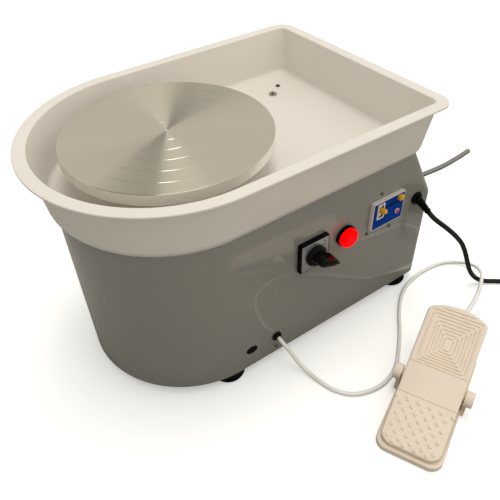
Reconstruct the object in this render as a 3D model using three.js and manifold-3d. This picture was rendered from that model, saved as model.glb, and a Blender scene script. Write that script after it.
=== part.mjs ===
// Table-top pottery wheel: a belt-driven wheel head over a D-shaped steel cabinet, a one-piece
// splash pan, a front row of controls, a hand speed lever and a foot pedal on a lead.
// Millimetres, +Z up. Everything is laid out about the wheel's own axis, with the bench top at
// z = 0, +X towards the square end and -Y towards the controls. The last lines move the origin
// to the middle of the footprint.
import * as THREE from 'three';
import { mergeVertices } from 'three/addons/utils/BufferGeometryUtils.js';
import Module from 'manifold-3d';

const wasm = await Module();
wasm.setup();

// ---------------------------------------------------------------- driving dimensions
const GAP = 0.3; // air between two pieces that rest on each other

const WHEEL = { radius: 125, top: 315.5, thickness: 14, hubRadius: 42, spindleRadius: 10 };
const HUB_BOTTOM = 266;
const BEARING = { bore: 23.5, outerRace: 18.5, innerRace: 15.5, width: 14, upper: 226, lower: 160 };

const HOUSING = {
  halfWidth: 140, roundCentre: -4, right: 327, cornerRadius: 12,
  bottom: 14, top: 248, slopeFoot: 168, slopeTopX: 281.5, wall: 2,
};

const PAN = {
  halfWidth: 140, right: 272, cornerRadius: 12, bottom: 248, top: 323,
  wall: 4, flare: 15, lip: 27.2, floor: 260, neckRadius: 26, neckTop: 284,
};

const CONTROL_ROW = 170; // height of the selector and the lamp
const CORD_ROW = 47; // height of the pedal lead's grommet
const SELECTOR = { x: 107.5, size: 46, depth: 6, knobTilt: -24 };
const LAMP = { x: 162.3, collarRadius: 15, lensRadius: 13.7 };
const BREAKER = { x: 232.5, z: 179, width: 57, height: 44, depth: 7.2 };
const TOGGLE = { x: 217.5, z: 185.5, slotWidth: 8, slotHeight: 20 };
const TEST_BUTTON = { x: 251.5, z: 194.5, width: 8, height: 6.5 };
const INDICATOR = { x: 249.5, z: 172, radius: 2.6, rimRadius: 3.9 };
const GLAND = { x: 293, z: 170.5 };
const PEDAL_GROMMET_X = 52.5;
const BLANK_GROMMET_X = 12;

const LEVER = { x: 300, y: -100, z: 164, rodRadius: 3.8, hubRadius: 8, reach: 457 };

const MOTOR = { x: 175, y: 40, radius: 48, bottom: 150, top: 240, shaftRadius: 5 };
const BELT = { drivenRadius: 70, motorRadius: 20, bottom: 120, top: 138, thickness: 2.5 };

const FOOT = { radius: 23, height: HOUSING.bottom - GAP };
const FOOT_PLACES = {
  foot_front_left: [-14, -118],
  foot_front_right: [295, -119],
  foot_rear_left: [-14, 118],
  foot_rear_right: [295, 119],
  foot_round_end: [-106, 0],
};

const PEDAL = {
  x: 173.4, y: -310.8, turn: 25.4, halfWidth: 41, near: -99, far: 88, base: 8,
  pivotAt: 0.75, pivotHeight: 28, earReach: 10, earRadius: 10.5, webReach: 4, webWidth: 16,
  pinRadius: 3,
};
const TREADLE = {
  tilt: 14.3, halfWidth: 39.7, near: -96, far: 105, crown: 9.5, above: 11, thickness: 6.5,
};

const POWER_CORD_RADIUS = 3.5;
const PEDAL_CORD_RADIUS = 2.75;
// the mains lead's strain relief, turned towards +X and drooping, in degrees
const BOOT = { length: 24, turn: 20, droop: 40 };

// ---------------------------------------------------------------- free cords, wheel axis frame
const POWER_CORD_ROUTE = [
  [299.4, -161.1, 154.8], [299.8, -162.1, 153.9], [301.3, -165.6, 150.6], [303.4, -168.6, 147.3],
  [306, -171.3, 144.1], [309, -173.6, 140.8], [313.4, -176.4, 136.4], [318, -179.2, 131.7],
  [328.6, -184.4, 120.4], [340, -189, 107], [350.2, -192.6, 93], [358, -195.7, 78],
  [363.8, -198.8, 62.5], [369, -201.6, 47.5], [374.8, -204.4, 33], [381.5, -207.8, 21.2],
  [389.5, -212, 12.2], [397.7, -216.4, 6.7], [406.4, -221.6, 4.1], [415.7, -228, 3.6],
  [424.7, -235.8, 3.6], [433.6, -244.8, 3.6], [442.8, -254.5, 3.6]
];
const COIL = { x: 492, y: -266, inner: 31.2, outer: 45.8, height: 14.4 };
const POWER_CORD_TAIL = [
  [534.3, -238.5, 9.8], [535, -231, 10], [536, -221, 11.6], [536.5, -212, 12.9], [536.5, -205, 13],
];
const PLUG = { x: 536.5, y: -204.7, z: 13, radius: 12.5, length: 36 };

const PEDAL_CORD_ROUTE = [
  [52.5, -145.4, 47], [52.6, -149.5, 46.4], [53.6, -154.8, 43.4], [56, -160.5, 37.4],
  [59.5, -167, 28.5], [63.2, -174.2, 18], [67, -183, 9.2], [70.5, -194, 4.4], [73.3, -208, 3],
  [80, -230, 2.8], [95, -249, 2.8], [116, -259, 2.8], [141, -261.5, 2.8], [169, -253.5, 2.8],
  [198, -233, 2.8], [224, -210, 2.8], [247, -187, 2.8], [271, -167, 2.8], [296, -153.5, 2.8],
  [324, -147, 2.8], [354, -146, 2.8], [383, -151, 3], [403, -164, 4], [410.5, -180.8, 8.6],
  [407.5, -198, 15], [397.8, -212.9, 18.2], [383.9, -223.7, 14.4], [366.5, -232.3, 7.4],
  [345, -240, 3.5], [318, -246.2, 3], [296, -253.2, 3.6], [277, -261.6, 5.2], [264.4, -267.6, 6],
];

// ---------------------------------------------------------------- colours and finishes
const finish = (color, roughness, metalness = 0) =>
  new THREE.MeshStandardMaterial({ color, roughness, metalness });
const GREY_PAINT = () => finish(0x6e6c62, 0.25, 0.1);
const WHITE_PLASTIC = () => finish(0xe6ddd0, 0.35);
const CREAM_PLASTIC = () => finish(0xebdac3, 0.5);
const BLACK_PLASTIC = () => finish(0x15140f, 0.4);
const YELLOW_PLASTIC = () => finish(0xe0a52a, 0.4);
const STEEL = () => finish(0xa9a9a6, 0.35, 0.9);
const DARK_STEEL = () => finish(0x4a4a4a, 0.5, 0.8);
const ALUMINIUM = () => finish(0xc6c1b6, 0.3, 0.9);
const RUBBER = () => finish(0x1a1a1a, 0.8);
const CIRCUIT_GREEN = () => finish(0x1d5a34, 0.5);

// ---------------------------------------------------------------- geometry helpers
const rad = THREE.MathUtils.degToRad;
const point = ([x, y, z]) => new THREE.Vector3(x, y, z);

// Merges shared corners, drops slivers and turns the faces outwards.
function closed(geometry) {
  const bare = geometry.clone();
  bare.deleteAttribute('normal');
  bare.deleteAttribute('uv');
  const merged = mergeVertices(bare, 1e-4);
  const position = merged.getAttribute('position');
  const corners = [new THREE.Vector3(), new THREE.Vector3(), new THREE.Vector3()];
  const kept = [];
  let volume = 0;
  for (let i = 0; i < merged.index.count; i += 3) {
    const ids = [0, 1, 2].map((k) => merged.index.getX(i + k));
    if (new Set(ids).size < 3) continue;
    ids.forEach((id, k) => corners[k].fromBufferAttribute(position, id));
    volume += corners[0].dot(corners[1].clone().cross(corners[2]));
    kept.push(ids);
  }
  merged.setIndex((volume < 0 ? kept.map(([a, b, c]) => [a, c, b]) : kept).flat());
  return merged;
}

function toSolid(geometry) {
  const mesh = closed(geometry);
  return new wasm.Manifold(new wasm.Mesh({
    numProp: 3,
    vertProperties: new Float32Array(mesh.getAttribute('position').array),
    triVerts: new Uint32Array(mesh.index.array),
  }));
}

function toGeometry(solid) {
  const { vertProperties, triVerts } = solid.getMesh();
  const geometry = new THREE.BufferGeometry();
  geometry.setAttribute('position', new THREE.BufferAttribute(vertProperties, 3));
  geometry.setIndex(new THREE.BufferAttribute(triVerts, 1));
  return geometry;
}

const join = (...pieces) => toGeometry(pieces.map(toSolid).reduce((a, b) => a.add(b)));
const cut = (base, ...tools) =>
  toGeometry(tools.map(toSolid).reduce((a, b) => a.subtract(b), toSolid(base)));

function box([x0, x1], [y0, y1], [z0, z1]) {
  const geometry = new THREE.BoxGeometry(x1 - x0, y1 - y0, z1 - z0);
  return geometry.translate((x0 + x1) / 2, (y0 + y1) / 2, (z0 + z1) / 2);
}

// A body of revolution about +Z from [radius, height] pairs.
function turned(profile, segments = 32) {
  const points = profile.map(([r, z]) => new THREE.Vector2(r, z));
  return new THREE.LatheGeometry(points, segments).rotateX(Math.PI / 2);
}

const ringProfile = (inner, outer, z0, z1) =>
  [[inner, z0], [outer, z0], [outer, z1], [inner, z1], [inner, z0]];
const ring = (inner, outer, z0, z1, segments) =>
  turned(ringProfile(inner, outer, z0, z1), segments);
const disc = (radius, z0, z1, segments) =>
  turned([[0, z0], [radius, z0], [radius, z1], [0, z1]], segments);

// Turns a piece made along +Z so that it runs along a direction from a point.
function along(geometry, direction, from) {
  const turn = new THREE.Quaternion().setFromUnitVectors(
    new THREE.Vector3(0, 0, 1), point(direction).normalize());
  return geometry.applyQuaternion(turn).translate(...from);
}

// A piece that stands out of the front panel: made along +Z, placed along -Y.
const onPanel = (geometry, x, z) => along(geometry, [0, -1, 0], [x, -HOUSING.halfWidth, z]);

function plate(points, z0, z1) {
  const shape = new THREE.Shape(points);
  const options = { depth: z1 - z0, bevelEnabled: false };
  return new THREE.ExtrudeGeometry(shape, options).translate(0, 0, z0);
}

// A round bar or cord along a smooth curve through points.
function tube(route, radius, sides, steps) {
  const section = [];
  for (let i = 0; i < sides; i++) {
    const a = (i + 0.5) * 2 * Math.PI / sides;
    section.push(new THREE.Vector2(radius * Math.cos(a), radius * Math.sin(a)));
  }
  const extrudePath = new THREE.CatmullRomCurve3(route.map(point), false, 'centripetal');
  return new THREE.ExtrudeGeometry(new THREE.Shape(section), { steps, extrudePath });
}

function arc(cx, cy, radius, from, to, steps) {
  const points = [];
  for (let i = 0; i <= steps; i++) {
    const a = rad(from + (to - from) * i / steps);
    points.push(new THREE.Vector2(cx + radius * Math.cos(a), cy + radius * Math.sin(a)));
  }
  return points;
}

// The D-shaped plan that cabinet and pan share: a half circle at -X, a square end at +X.
function dPlan(halfWidth, right, cornerRadius, arcSteps = 32, cornerSteps = 3) {
  const cx = right - cornerRadius;
  const cy = halfWidth - cornerRadius;
  return [
    ...arc(HOUSING.roundCentre, 0, halfWidth, 90, 270, arcSteps),
    ...arc(cx, -cy, cornerRadius, 270, 360, cornerSteps),
    ...arc(cx, cy, cornerRadius, 0, 90, cornerSteps),
  ];
}

// A closed solid through a stack of plans with equal point counts.
function loft(plans, heights) {
  const count = plans[0].length;
  const vertices = plans.flatMap((plan, k) => plan.flatMap((p) => [p.x, p.y, heights[k]]));
  const faces = [];
  for (let k = 0; k + 1 < plans.length; k++) {
    for (let i = 0; i < count; i++) {
      const a = k * count + i;
      const b = k * count + (i + 1) % count;
      faces.push(a, b, b + count, a, b + count, a + count);
    }
  }
  const top = (plans.length - 1) * count;
  THREE.ShapeUtils.triangulateShape(plans[0], []).forEach(([a, b, c]) => faces.push(a, c, b));
  THREE.ShapeUtils.triangulateShape(plans.at(-1), [])
    .forEach(([a, b, c]) => faces.push(top + a, top + b, top + c));
  const geometry = new THREE.BufferGeometry();
  geometry.setAttribute('position', new THREE.Float32BufferAttribute(vertices, 3));
  geometry.setIndex(faces);
  return geometry;
}

// ---------------------------------------------------------------- the assembly
const machine = new THREE.Group();
const pedal = new THREE.Group();
pedal.position.set(PEDAL.x, PEDAL.y, 0);
pedal.rotation.z = rad(PEDAL.turn);
machine.add(pedal);

function add(name, geometry, material, parent = machine) {
  const mesh = new THREE.Mesh(closed(geometry), material);
  mesh.name = name;
  parent.add(mesh);
  return mesh;
}

// ---- cabinet: shell, deck, base and feet
// The square end leans in above slopeFoot, so a wedge is taken off each extruded plan.
function cabinetBlock(inset, z0, z1) {
  const { halfWidth, right, cornerRadius, top, slopeFoot, slopeTopX } = HOUSING;
  const outline = dPlan(halfWidth - inset, right - inset, cornerRadius - inset);
  const run = (right - slopeTopX) / (top - slopeFoot);
  const shift = inset * Math.hypot(1, run);
  const reach = 40;
  const wedge = [
    [right - shift, slopeFoot],
    [right - shift + reach, slopeFoot - reach / 8],
    [right + reach, top + reach],
    [slopeTopX - shift - run * reach, top + reach],
  ].map(([x, z]) => new THREE.Vector2(x, z));
  const prism = new THREE.ExtrudeGeometry(new THREE.Shape(wedge), {
    depth: 3 * halfWidth, bevelEnabled: false,
  }).rotateX(Math.PI / 2).translate(0, 1.5 * halfWidth, 0);
  return cut(plate(outline, z0, z1), prism);
}

function housingShell() {
  const { bottom, top, wall, halfWidth } = HOUSING;
  const shell = cut(cabinetBlock(0, bottom, top), cabinetBlock(wall, bottom - 5, top + 5));
  const through = (radius, x, z) =>
    onPanel(turned([[0, -wall * 3], [radius, -wall * 3], [radius, wall], [0, wall]], 20), x, z);
  const breakerWindow = box(
    [BREAKER.x - 25, BREAKER.x + 25], [-halfWidth - 5, -halfWidth + 5],
    [BREAKER.z - 20, BREAKER.z + 20]);
  const leverSlot = box([HOUSING.right - 15, HOUSING.right + 5], [-107, -66],
    [LEVER.z - 8, LEVER.z + 4.5]);
  return cut(shell,
    through(6, SELECTOR.x, CONTROL_ROW), through(11, LAMP.x, CONTROL_ROW),
    through(7, GLAND.x, GLAND.z), through(4, PEDAL_GROMMET_X, CORD_ROW),
    through(6.5, BLANK_GROMMET_X, CORD_ROW), breakerWindow, leverSlot);
}

const inner = HOUSING.wall + GAP;
const DECK_THICKNESS = 3;
const BASE_THICKNESS = 2.5;
add('housing_shell', housingShell(), GREY_PAINT());
const deck = plate(dPlan(HOUSING.halfWidth - inner, HOUSING.slopeTopX - inner - 1,
  HOUSING.cornerRadius - inner), HOUSING.top - DECK_THICKNESS, HOUSING.top);
add('deck_plate', cut(deck, disc(20, HOUSING.top - 10, HOUSING.top + 10, 32)), DARK_STEEL());
add('base_plate', plate(dPlan(HOUSING.halfWidth - inner, HOUSING.right - inner,
  HOUSING.cornerRadius - inner), HOUSING.bottom, HOUSING.bottom + BASE_THICKNESS), DARK_STEEL());
for (const [name, [x, y]] of Object.entries(FOOT_PLACES)) {
  const { radius, height } = FOOT;
  const profile = [[0, 0], [radius - 1.5, 0], [radius, 1.5], [radius - 1.5, height], [0, height]];
  add(name, turned(profile, 24).translate(x, y, 0), RUBBER());
}

// ---- splash pan: a lofted D-shaped tray with a flat lip and a neck for the spindle
function splashPan() {
  const { halfWidth, right, cornerRadius, bottom, top, wall, flare, lip, floor } = PAN;
  const innerRadius = cornerRadius - wall;
  // each step is the outline's distance outside the cabinet's plan, a height and a corner radius
  const stack = (steps) => loft(
    steps.map(([offset, , radius]) => dPlan(halfWidth + offset, right + offset, radius)),
    steps.map(([, z]) => z));
  const base = bottom + GAP;
  const lipCorner = cornerRadius + lip - flare;
  const outer = stack([
    [0, base, innerRadius], [4.2, base + 2.7, 10], [flare / 2, base + 9.2, cornerRadius],
    [flare, top - 4.6, cornerRadius], [lip - 1.4, top - 3.8, lipCorner - 1.4],
    [lip, top - 2.7, lipCorner], [lip, top - 1.4, lipCorner],
    [lip - 1.6, top - 0.1, lipCorner - 1.6], [lip - 3.4, top, lipCorner - 3.4],
    [flare - 1, top, cornerRadius - 1],
  ]);
  const hollow = stack([
    [-6, floor, 6], [1.2, floor + 1.3, innerRadius], [flare / 2 - 3.1, floor + 7, innerRadius],
    [flare - wall + 0.4, top - 4, innerRadius], [flare - wall + 1.4, top - 0.8, innerRadius + 1],
    [flare - 1, top + 0.05, cornerRadius - 1],
  ]);
  const recess = stack([[-12, base - 1, 6], [-12, floor - wall, 6]]);
  const neck = disc(PAN.neckRadius, floor - wall - 0.01, PAN.neckTop, 36);
  const bore = disc(PAN.neckRadius - wall, bottom - 5, PAN.neckTop + 5, 36);
  const tray = cut(outer, hollow, recess);
  return cut(join(tray, neck), bore);
}
add('splash_pan', splashPan(), WHITE_PLASTIC());
const panScrew = [[0, 0], [3, 0], [3.4, 0.6], [2.2, 1.9], [0, 2.1]];
add('pan_screw', turned(panScrew, 16).translate(237, 102, PAN.floor + GAP), DARK_STEEL());
const washerScrew = [[0, 0], [6, 0], [6, 1.3], [3.6, 1.3], [3.2, 2.8], [0, 3.2]];
add('pan_washer_screw', turned(washerScrew, 20).translate(215, 85, PAN.floor + GAP), STEEL());

// ---- wheel head, hub, spindle and its two bearings
const wheelBottom = WHEEL.top - WHEEL.thickness;
const chamfer = 1;
add('wheel_head', turned([
  [0, wheelBottom], [WHEEL.radius - chamfer, wheelBottom], [WHEEL.radius, wheelBottom + chamfer],
  [WHEEL.radius, WHEEL.top - chamfer], [WHEEL.radius - chamfer, WHEEL.top], [0, WHEEL.top],
], 80), ALUMINIUM());
const hubTop = wheelBottom - GAP;
const hubBore = WHEEL.spindleRadius + GAP;
add('wheel_hub', turned([
  [hubBore, HUB_BOTTOM], [17, HUB_BOTTOM], [17, hubTop - 9], [WHEEL.hubRadius, hubTop - 7],
  [WHEEL.hubRadius, hubTop], [hubBore, hubTop], [hubBore, HUB_BOTTOM],
], 28), STEEL());
add('spindle', disc(WHEEL.spindleRadius, 112, hubTop, 32), STEEL());
const deckUnderside = HOUSING.top - DECK_THICKNESS - GAP;
const sleeve = { radius: 30, flangeRadius: 48, bottom: BEARING.lower - 4 };
add('bearing_housing', turned([
  [BEARING.bore, sleeve.bottom], [sleeve.radius, sleeve.bottom],
  [sleeve.radius, deckUnderside - 8.7], [sleeve.flangeRadius, deckUnderside - 6.7],
  [sleeve.flangeRadius, deckUnderside], [BEARING.bore, deckUnderside],
  [BEARING.bore, sleeve.bottom],
], 28), DARK_STEEL());
for (const name of ['upper', 'lower']) {
  const span = [BEARING[name], BEARING[name] + BEARING.width];
  add(`${name}_bearing_outer_race`, ring(BEARING.outerRace, BEARING.bore - GAP, ...span, 24),
    STEEL());
  add(`${name}_bearing_inner_race`, ring(hubBore, BEARING.innerRace, ...span, 24), STEEL());
}

// ---- belt drive
function pulley(bore, radius, segments) {
  const flange = radius + 3;
  return turned([
    [bore, BELT.bottom - 2], [flange, BELT.bottom - 2], [flange, BELT.bottom],
    [radius, BELT.bottom + 0.5], [radius, BELT.top - 0.5], [flange, BELT.top],
    [flange, BELT.top + 2], [bore, BELT.top + 2], [bore, BELT.bottom - 2],
  ], segments);
}

// The open belt's outline: the two tangents of a pair of circles and the arcs between them.
function beltOutline(extra) {
  const distance = Math.hypot(MOTOR.x, MOTOR.y);
  const heading = THREE.MathUtils.radToDeg(Math.atan2(MOTOR.y, MOTOR.x));
  const lean = THREE.MathUtils.radToDeg(
    Math.acos((BELT.drivenRadius - BELT.motorRadius) / distance));
  return [
    ...arc(0, 0, BELT.drivenRadius + extra, heading + lean, heading + 360 - lean, 32),
    ...arc(MOTOR.x, MOTOR.y, BELT.motorRadius + extra, heading - lean, heading + lean, 14),
  ];
}

add('driven_pulley', pulley(hubBore, BELT.drivenRadius, 36), ALUMINIUM());
const { shaftRadius } = MOTOR;
add('motor_pulley', pulley(shaftRadius + GAP, BELT.motorRadius, 20).translate(MOTOR.x, MOTOR.y, 0),
  ALUMINIUM());
add('motor_shaft', disc(shaftRadius, 114, MOTOR.bottom + 30, 20).translate(MOTOR.x, MOTOR.y, 0),
  STEEL());
const beltEdges = [BELT.bottom + 1.5, BELT.top - 1.5];
add('drive_belt', cut(
  plate(beltOutline(0.6 + BELT.thickness), ...beltEdges),
  plate(beltOutline(0.6), beltEdges[0] - 1, beltEdges[1] + 1)), RUBBER());
const motorShell = turned([
  [shaftRadius + 1, MOTOR.bottom], [20, MOTOR.bottom], [20, MOTOR.bottom + 5],
  [MOTOR.radius - 3, MOTOR.bottom + 5], [MOTOR.radius, MOTOR.bottom + 8],
  [MOTOR.radius, MOTOR.top - 3], [MOTOR.radius - 3, MOTOR.top], [0, MOTOR.top],
  [0, MOTOR.bottom + 32], [shaftRadius + 1, MOTOR.bottom + 32], [shaftRadius + 1, MOTOR.bottom],
], 28);
add('motor_body', motorShell.translate(MOTOR.x, MOTOR.y, 0), DARK_STEEL());
const bracket = { halfLength: 62, halfWidth: 56 };
add('motor_bracket', box([MOTOR.x - bracket.halfLength, MOTOR.x + bracket.halfLength],
  [MOTOR.y - bracket.halfWidth, MOTOR.y + bracket.halfWidth], [MOTOR.top + GAP, deckUnderside]),
STEEL());

// ---- speed controller on the base plate
const BOARD = { x: [130, 280], y: [-80, 40], top: 30, thickness: 2, legInset: 10, legRadius: 4 };
const boardFoot = HOUSING.bottom + BASE_THICKNESS + GAP;
const boardLegs = [0, 1].flatMap((i) => [0, 1].map((j) =>
  disc(BOARD.legRadius, boardFoot, BOARD.top - 1, 12).translate(
    BOARD.x[i] + BOARD.legInset * (1 - 2 * i), BOARD.y[j] + BOARD.legInset * (1 - 2 * j), 0)));
add('control_board', join(box(BOARD.x, BOARD.y, [BOARD.top - BOARD.thickness, BOARD.top]),
  ...boardLegs), CIRCUIT_GREEN());
const SINK = { x: [148, 209], y: [-64, -14], height: 28, floor: 7, finPitch: 11, finGap: 7 };
const finCuts = [0, 1, 2, 3, 4].map((i) => {
  const start = SINK.x[0] + 5 + SINK.finPitch * i;
  return box([start, start + SINK.finGap], [-80, 0], [BOARD.top + SINK.floor, BOARD.top + 40]);
});
add('heat_sink', cut(box(SINK.x, SINK.y, [BOARD.top + GAP, BOARD.top + SINK.height]), ...finCuts),
  ALUMINIUM());

// ---- selector switch: square black bezel, bright plate and a pointer knob
const half = SELECTOR.size / 2;
const roundedSquare = (h, r) => [
  ...arc(h - r, h - r, r, 0, 90, 4), ...arc(r - h, h - r, r, 90, 180, 4),
  ...arc(r - h, r - h, r, 180, 270, 4), ...arc(h - r, r - h, r, 270, 360, 4),
];
const bezelFront = SELECTOR.depth + GAP;
const faceFront = bezelFront + GAP + 0.8;
add('selector_bezel', onPanel(cut(plate(roundedSquare(half, 3), GAP, bezelFront),
  disc(5, -5, 15, 20)), SELECTOR.x, CONTROL_ROW), BLACK_PLASTIC());
add('selector_plate', onPanel(cut(plate(roundedSquare(half - 2, 1.5), bezelFront + GAP, faceFront),
  disc(5, -5, 15, 20)), SELECTOR.x, CONTROL_ROW), ALUMINIUM());
const panelBack = -HOUSING.wall - GAP;
add('selector_switch_body', onPanel(cut(plate(roundedSquare(21, 2), -48, panelBack),
  disc(4.5, -20, 5, 20)), SELECTOR.x, CONTROL_ROW), BLACK_PLASTIC());
const knobBase = faceFront + GAP;
const grip = { back: -9, tip: 26, width: 5.5, low: knobBase + 5, high: knobBase + 21 };
const gripOutline = [
  [grip.tip, 0], [grip.tip - 9, grip.width], [0, grip.width + 1], [grip.back + 3, grip.width],
  [grip.back, grip.width - 3], [grip.back, 3 - grip.width], [grip.back + 3, -grip.width],
  [0, -grip.width - 1], [grip.tip - 9, -grip.width],
].map(([x, y]) => new THREE.Vector2(x, y));
const knobTurn = rad(SELECTOR.knobTilt);
// Seen from the front, a knob made along +Z and placed along -Y keeps its +X and turns +Y to +Z.
const inlay = { from: 9, to: 23.5, halfWidth: 2.2 };
const insetSeat = box([inlay.from, inlay.to], [-inlay.halfWidth, inlay.halfWidth],
  [grip.high - 1.5, grip.high + 1]);
const knob = cut(join(
  disc(4, -15, knobBase + 2, 20),
  turned([
    [0, knobBase], [15, knobBase], [14, knobBase + 5], [11.5, knobBase + 6.5], [0, knobBase + 6.5],
  ], 32),
  plate(gripOutline, grip.low, grip.high)), insetSeat);
add('selector_knob', onPanel(knob.rotateZ(knobTurn), SELECTOR.x, CONTROL_ROW), BLACK_PLASTIC());
const pointer = box([inlay.from + GAP, inlay.to - GAP],
  [GAP - inlay.halfWidth, inlay.halfWidth - GAP], [grip.high - 1.2, grip.high + 0.4]);
add('selector_pointer', onPanel(pointer.rotateZ(knobTurn), SELECTOR.x, CONTROL_ROW),
  finish(0x7a1424, 0.4));

// ---- pilot lamp
add('lamp_collar', onPanel(turned([
  [0, -42], [10.5, -42], [10.5, GAP], [LAMP.collarRadius, GAP], [LAMP.collarRadius, 4.5],
  [LAMP.collarRadius - 1, 5.5], [0, 5.5],
], 32), LAMP.x, CONTROL_ROW), BLACK_PLASTIC());
add('lamp_lens', onPanel(turned([
  [0, 5.8], [LAMP.lensRadius, 5.8], [LAMP.lensRadius, 11], [LAMP.lensRadius - 2, 13], [0, 14.2],
], 32), LAMP.x, CONTROL_ROW), finish(0xff0a00, 0.2));

// ---- earth-leakage breaker: white frame, blue face, toggle, test button and indicator
const onBreaker = (w, h, y0, y1, x = BREAKER.x, z = BREAKER.z) => box(
  [x - w / 2, x + w / 2], [-HOUSING.halfWidth - y1, -HOUSING.halfWidth - y0],
  [z - h / 2, z + h / 2]);
const toggleSlot = (extra, y0, y1) => onBreaker(
  TOGGLE.slotWidth + extra, TOGGLE.slotHeight + extra, y0, y1, TOGGLE.x, TOGGLE.z);
const buttonHole = (extra, y0, y1) => onBreaker(
  TEST_BUTTON.width + extra, TEST_BUTTON.height + extra, y0, y1, TEST_BUTTON.x, TEST_BUTTON.z);
const indicatorHole = (y0, y1) =>
  onPanel(disc(INDICATOR.radius + 0.8, y0, y1, 16), INDICATOR.x, INDICATOR.z);
const faceBack = BREAKER.depth - 1.5;
add('breaker_frame', cut(onBreaker(BREAKER.width, BREAKER.height, GAP, BREAKER.depth),
  onBreaker(BREAKER.width - 3, BREAKER.height - 3, faceBack - GAP, 20),
  onBreaker(BREAKER.width - 7, BREAKER.height - 4, -5, 20)), WHITE_PLASTIC());
add('breaker_face', cut(
  onBreaker(BREAKER.width - 3.6, BREAKER.height - 3.6, faceBack, BREAKER.depth - 0.1),
  toggleSlot(0.6, 0, 20), buttonHole(0.8, 0, 20), indicatorHole(0, 20)), finish(0x0a3c8c, 0.35));
add('toggle_surround', cut(toggleSlot(4.5, BREAKER.depth + 0.2, BREAKER.depth + 1.2),
  toggleSlot(0.6, 0, 20)), WHITE_PLASTIC());
const breakerBack = -52;
add('breaker_body', cut(onBreaker(49, 39, breakerBack, faceBack - GAP),
  toggleSlot(0.6, -9, 20), buttonHole(0.8, -6, 20), indicatorHole(-2, 20)), BLACK_PLASTIC());
add('breaker_indicator', onPanel(turned([
  [0, -1], [INDICATOR.radius, -1], [INDICATOR.radius, BREAKER.depth + 0.2],
  [INDICATOR.rimRadius, BREAKER.depth + 0.2], [INDICATOR.rimRadius, BREAKER.depth + 1.4],
  [0, BREAKER.depth + 1.4],
], 20), INDICATOR.x, INDICATOR.z), finish(0xd0304a, 0.4));
const togglePivot = [TOGGLE.x, -HOUSING.halfWidth + 3, TOGGLE.z];
const toggleLift = 13; // degrees above straight out, in the rest position
const toggleLever = join(
  new THREE.CylinderGeometry(4.2, 4.2, TOGGLE.slotWidth - 1, 20).rotateZ(Math.PI / 2),
  box([-3.2, 3.2], [-19, 0], [-3, 3]));
add('breaker_toggle', toggleLever.rotateX(rad(-toggleLift)).translate(...togglePivot),
  YELLOW_PLASTIC());
add('test_button', buttonHole(0, -2.5, BREAKER.depth + 4), YELLOW_PLASTIC());
const smallScrew = [[0, GAP], [2.5, GAP], [2.5, 1], [1.6, 1.9], [0, 2.1]];
const PANEL_SCREWS = {
  breaker_screw_upper: [222, 208.5],
  breaker_screw_lower: [246, 143.5],
  panel_screw: [52, 26],
};
for (const [name, [x, z]] of Object.entries(PANEL_SCREWS)) {
  add(name, onPanel(turned(smallScrew, 14), x, z), STEEL());
}

// ---- glands and grommets on the front panel
const bootStart = [GLAND.x, -HOUSING.halfWidth - 3.5, GLAND.z];
const level = Math.cos(rad(BOOT.droop));
const bootRun = [
  level * Math.sin(rad(BOOT.turn)), -level * Math.cos(rad(BOOT.turn)), -Math.sin(rad(BOOT.droop)),
];
const boot = along(turned([
  [0, 0], [6, 0], [POWER_CORD_RADIUS + 1, BOOT.length], [0, BOOT.length],
], 20), bootRun, bootStart);
add('power_gland', join(onPanel(turned([
  [0, -12], [6.6, -12], [6.6, GAP], [9.5, GAP], [9.5, 3], [8, 4.6], [0, 4.6],
], 24), GLAND.x, GLAND.z), boot), BLACK_PLASTIC());
add('pedal_cord_grommet', onPanel(turned([
  [0, -6], [3.6, -6], [3.6, GAP], [7, GAP], [7, 2.2], [5.6, 3.6], [3.6, 4.6], [0, 5],
], 20), PEDAL_GROMMET_X, CORD_ROW), RUBBER());
add('blank_grommet', onPanel(turned([
  [0, -3.5], [6.1, -3.5], [6.1, GAP], [8.5, GAP], [8.5, 1.4], [7.6, 2.2], [5.6, 2.2],
  [5, 0.6], [0, 0.6],
], 24), BLANK_GROMMET_X, CORD_ROW), RUBBER());

// ---- hand speed lever through the square end
const leverHub = disc(LEVER.hubRadius, LEVER.z - 6, LEVER.z + 8, 24).translate(LEVER.x, LEVER.y, 0);
const leverRod = tube([
  [LEVER.x, LEVER.y, LEVER.z], [LEVER.x + 20, LEVER.y, LEVER.z - 0.8], [350, LEVER.y, 161.5],
  [395, LEVER.y, 158], [430, LEVER.y, 159.8], [LEVER.reach, LEVER.y, 163.5],
], LEVER.rodRadius, 12, 16);
add('speed_lever', join(leverHub, leverRod), STEEL());
add('lever_sensor', join(
  disc(12, LEVER.z - 30, LEVER.z - 14, 24).translate(LEVER.x, LEVER.y, 0),
  disc(3, LEVER.z - 15, LEVER.z - 6 - GAP, 12).translate(LEVER.x, LEVER.y, 0)), BLACK_PLASTIC());
add('lever_bracket', cut(
  join(box([284, 312], [-137.5, -84], [LEVER.z - 13.7, LEVER.z - 11.7]),
    box([284, 312], [-137.5, -135.5], [LEVER.z - 30, LEVER.z - 11.7])),
  disc(3.4, LEVER.z - 20, LEVER.z, 16).translate(LEVER.x, LEVER.y, 0)), STEEL());

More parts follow.
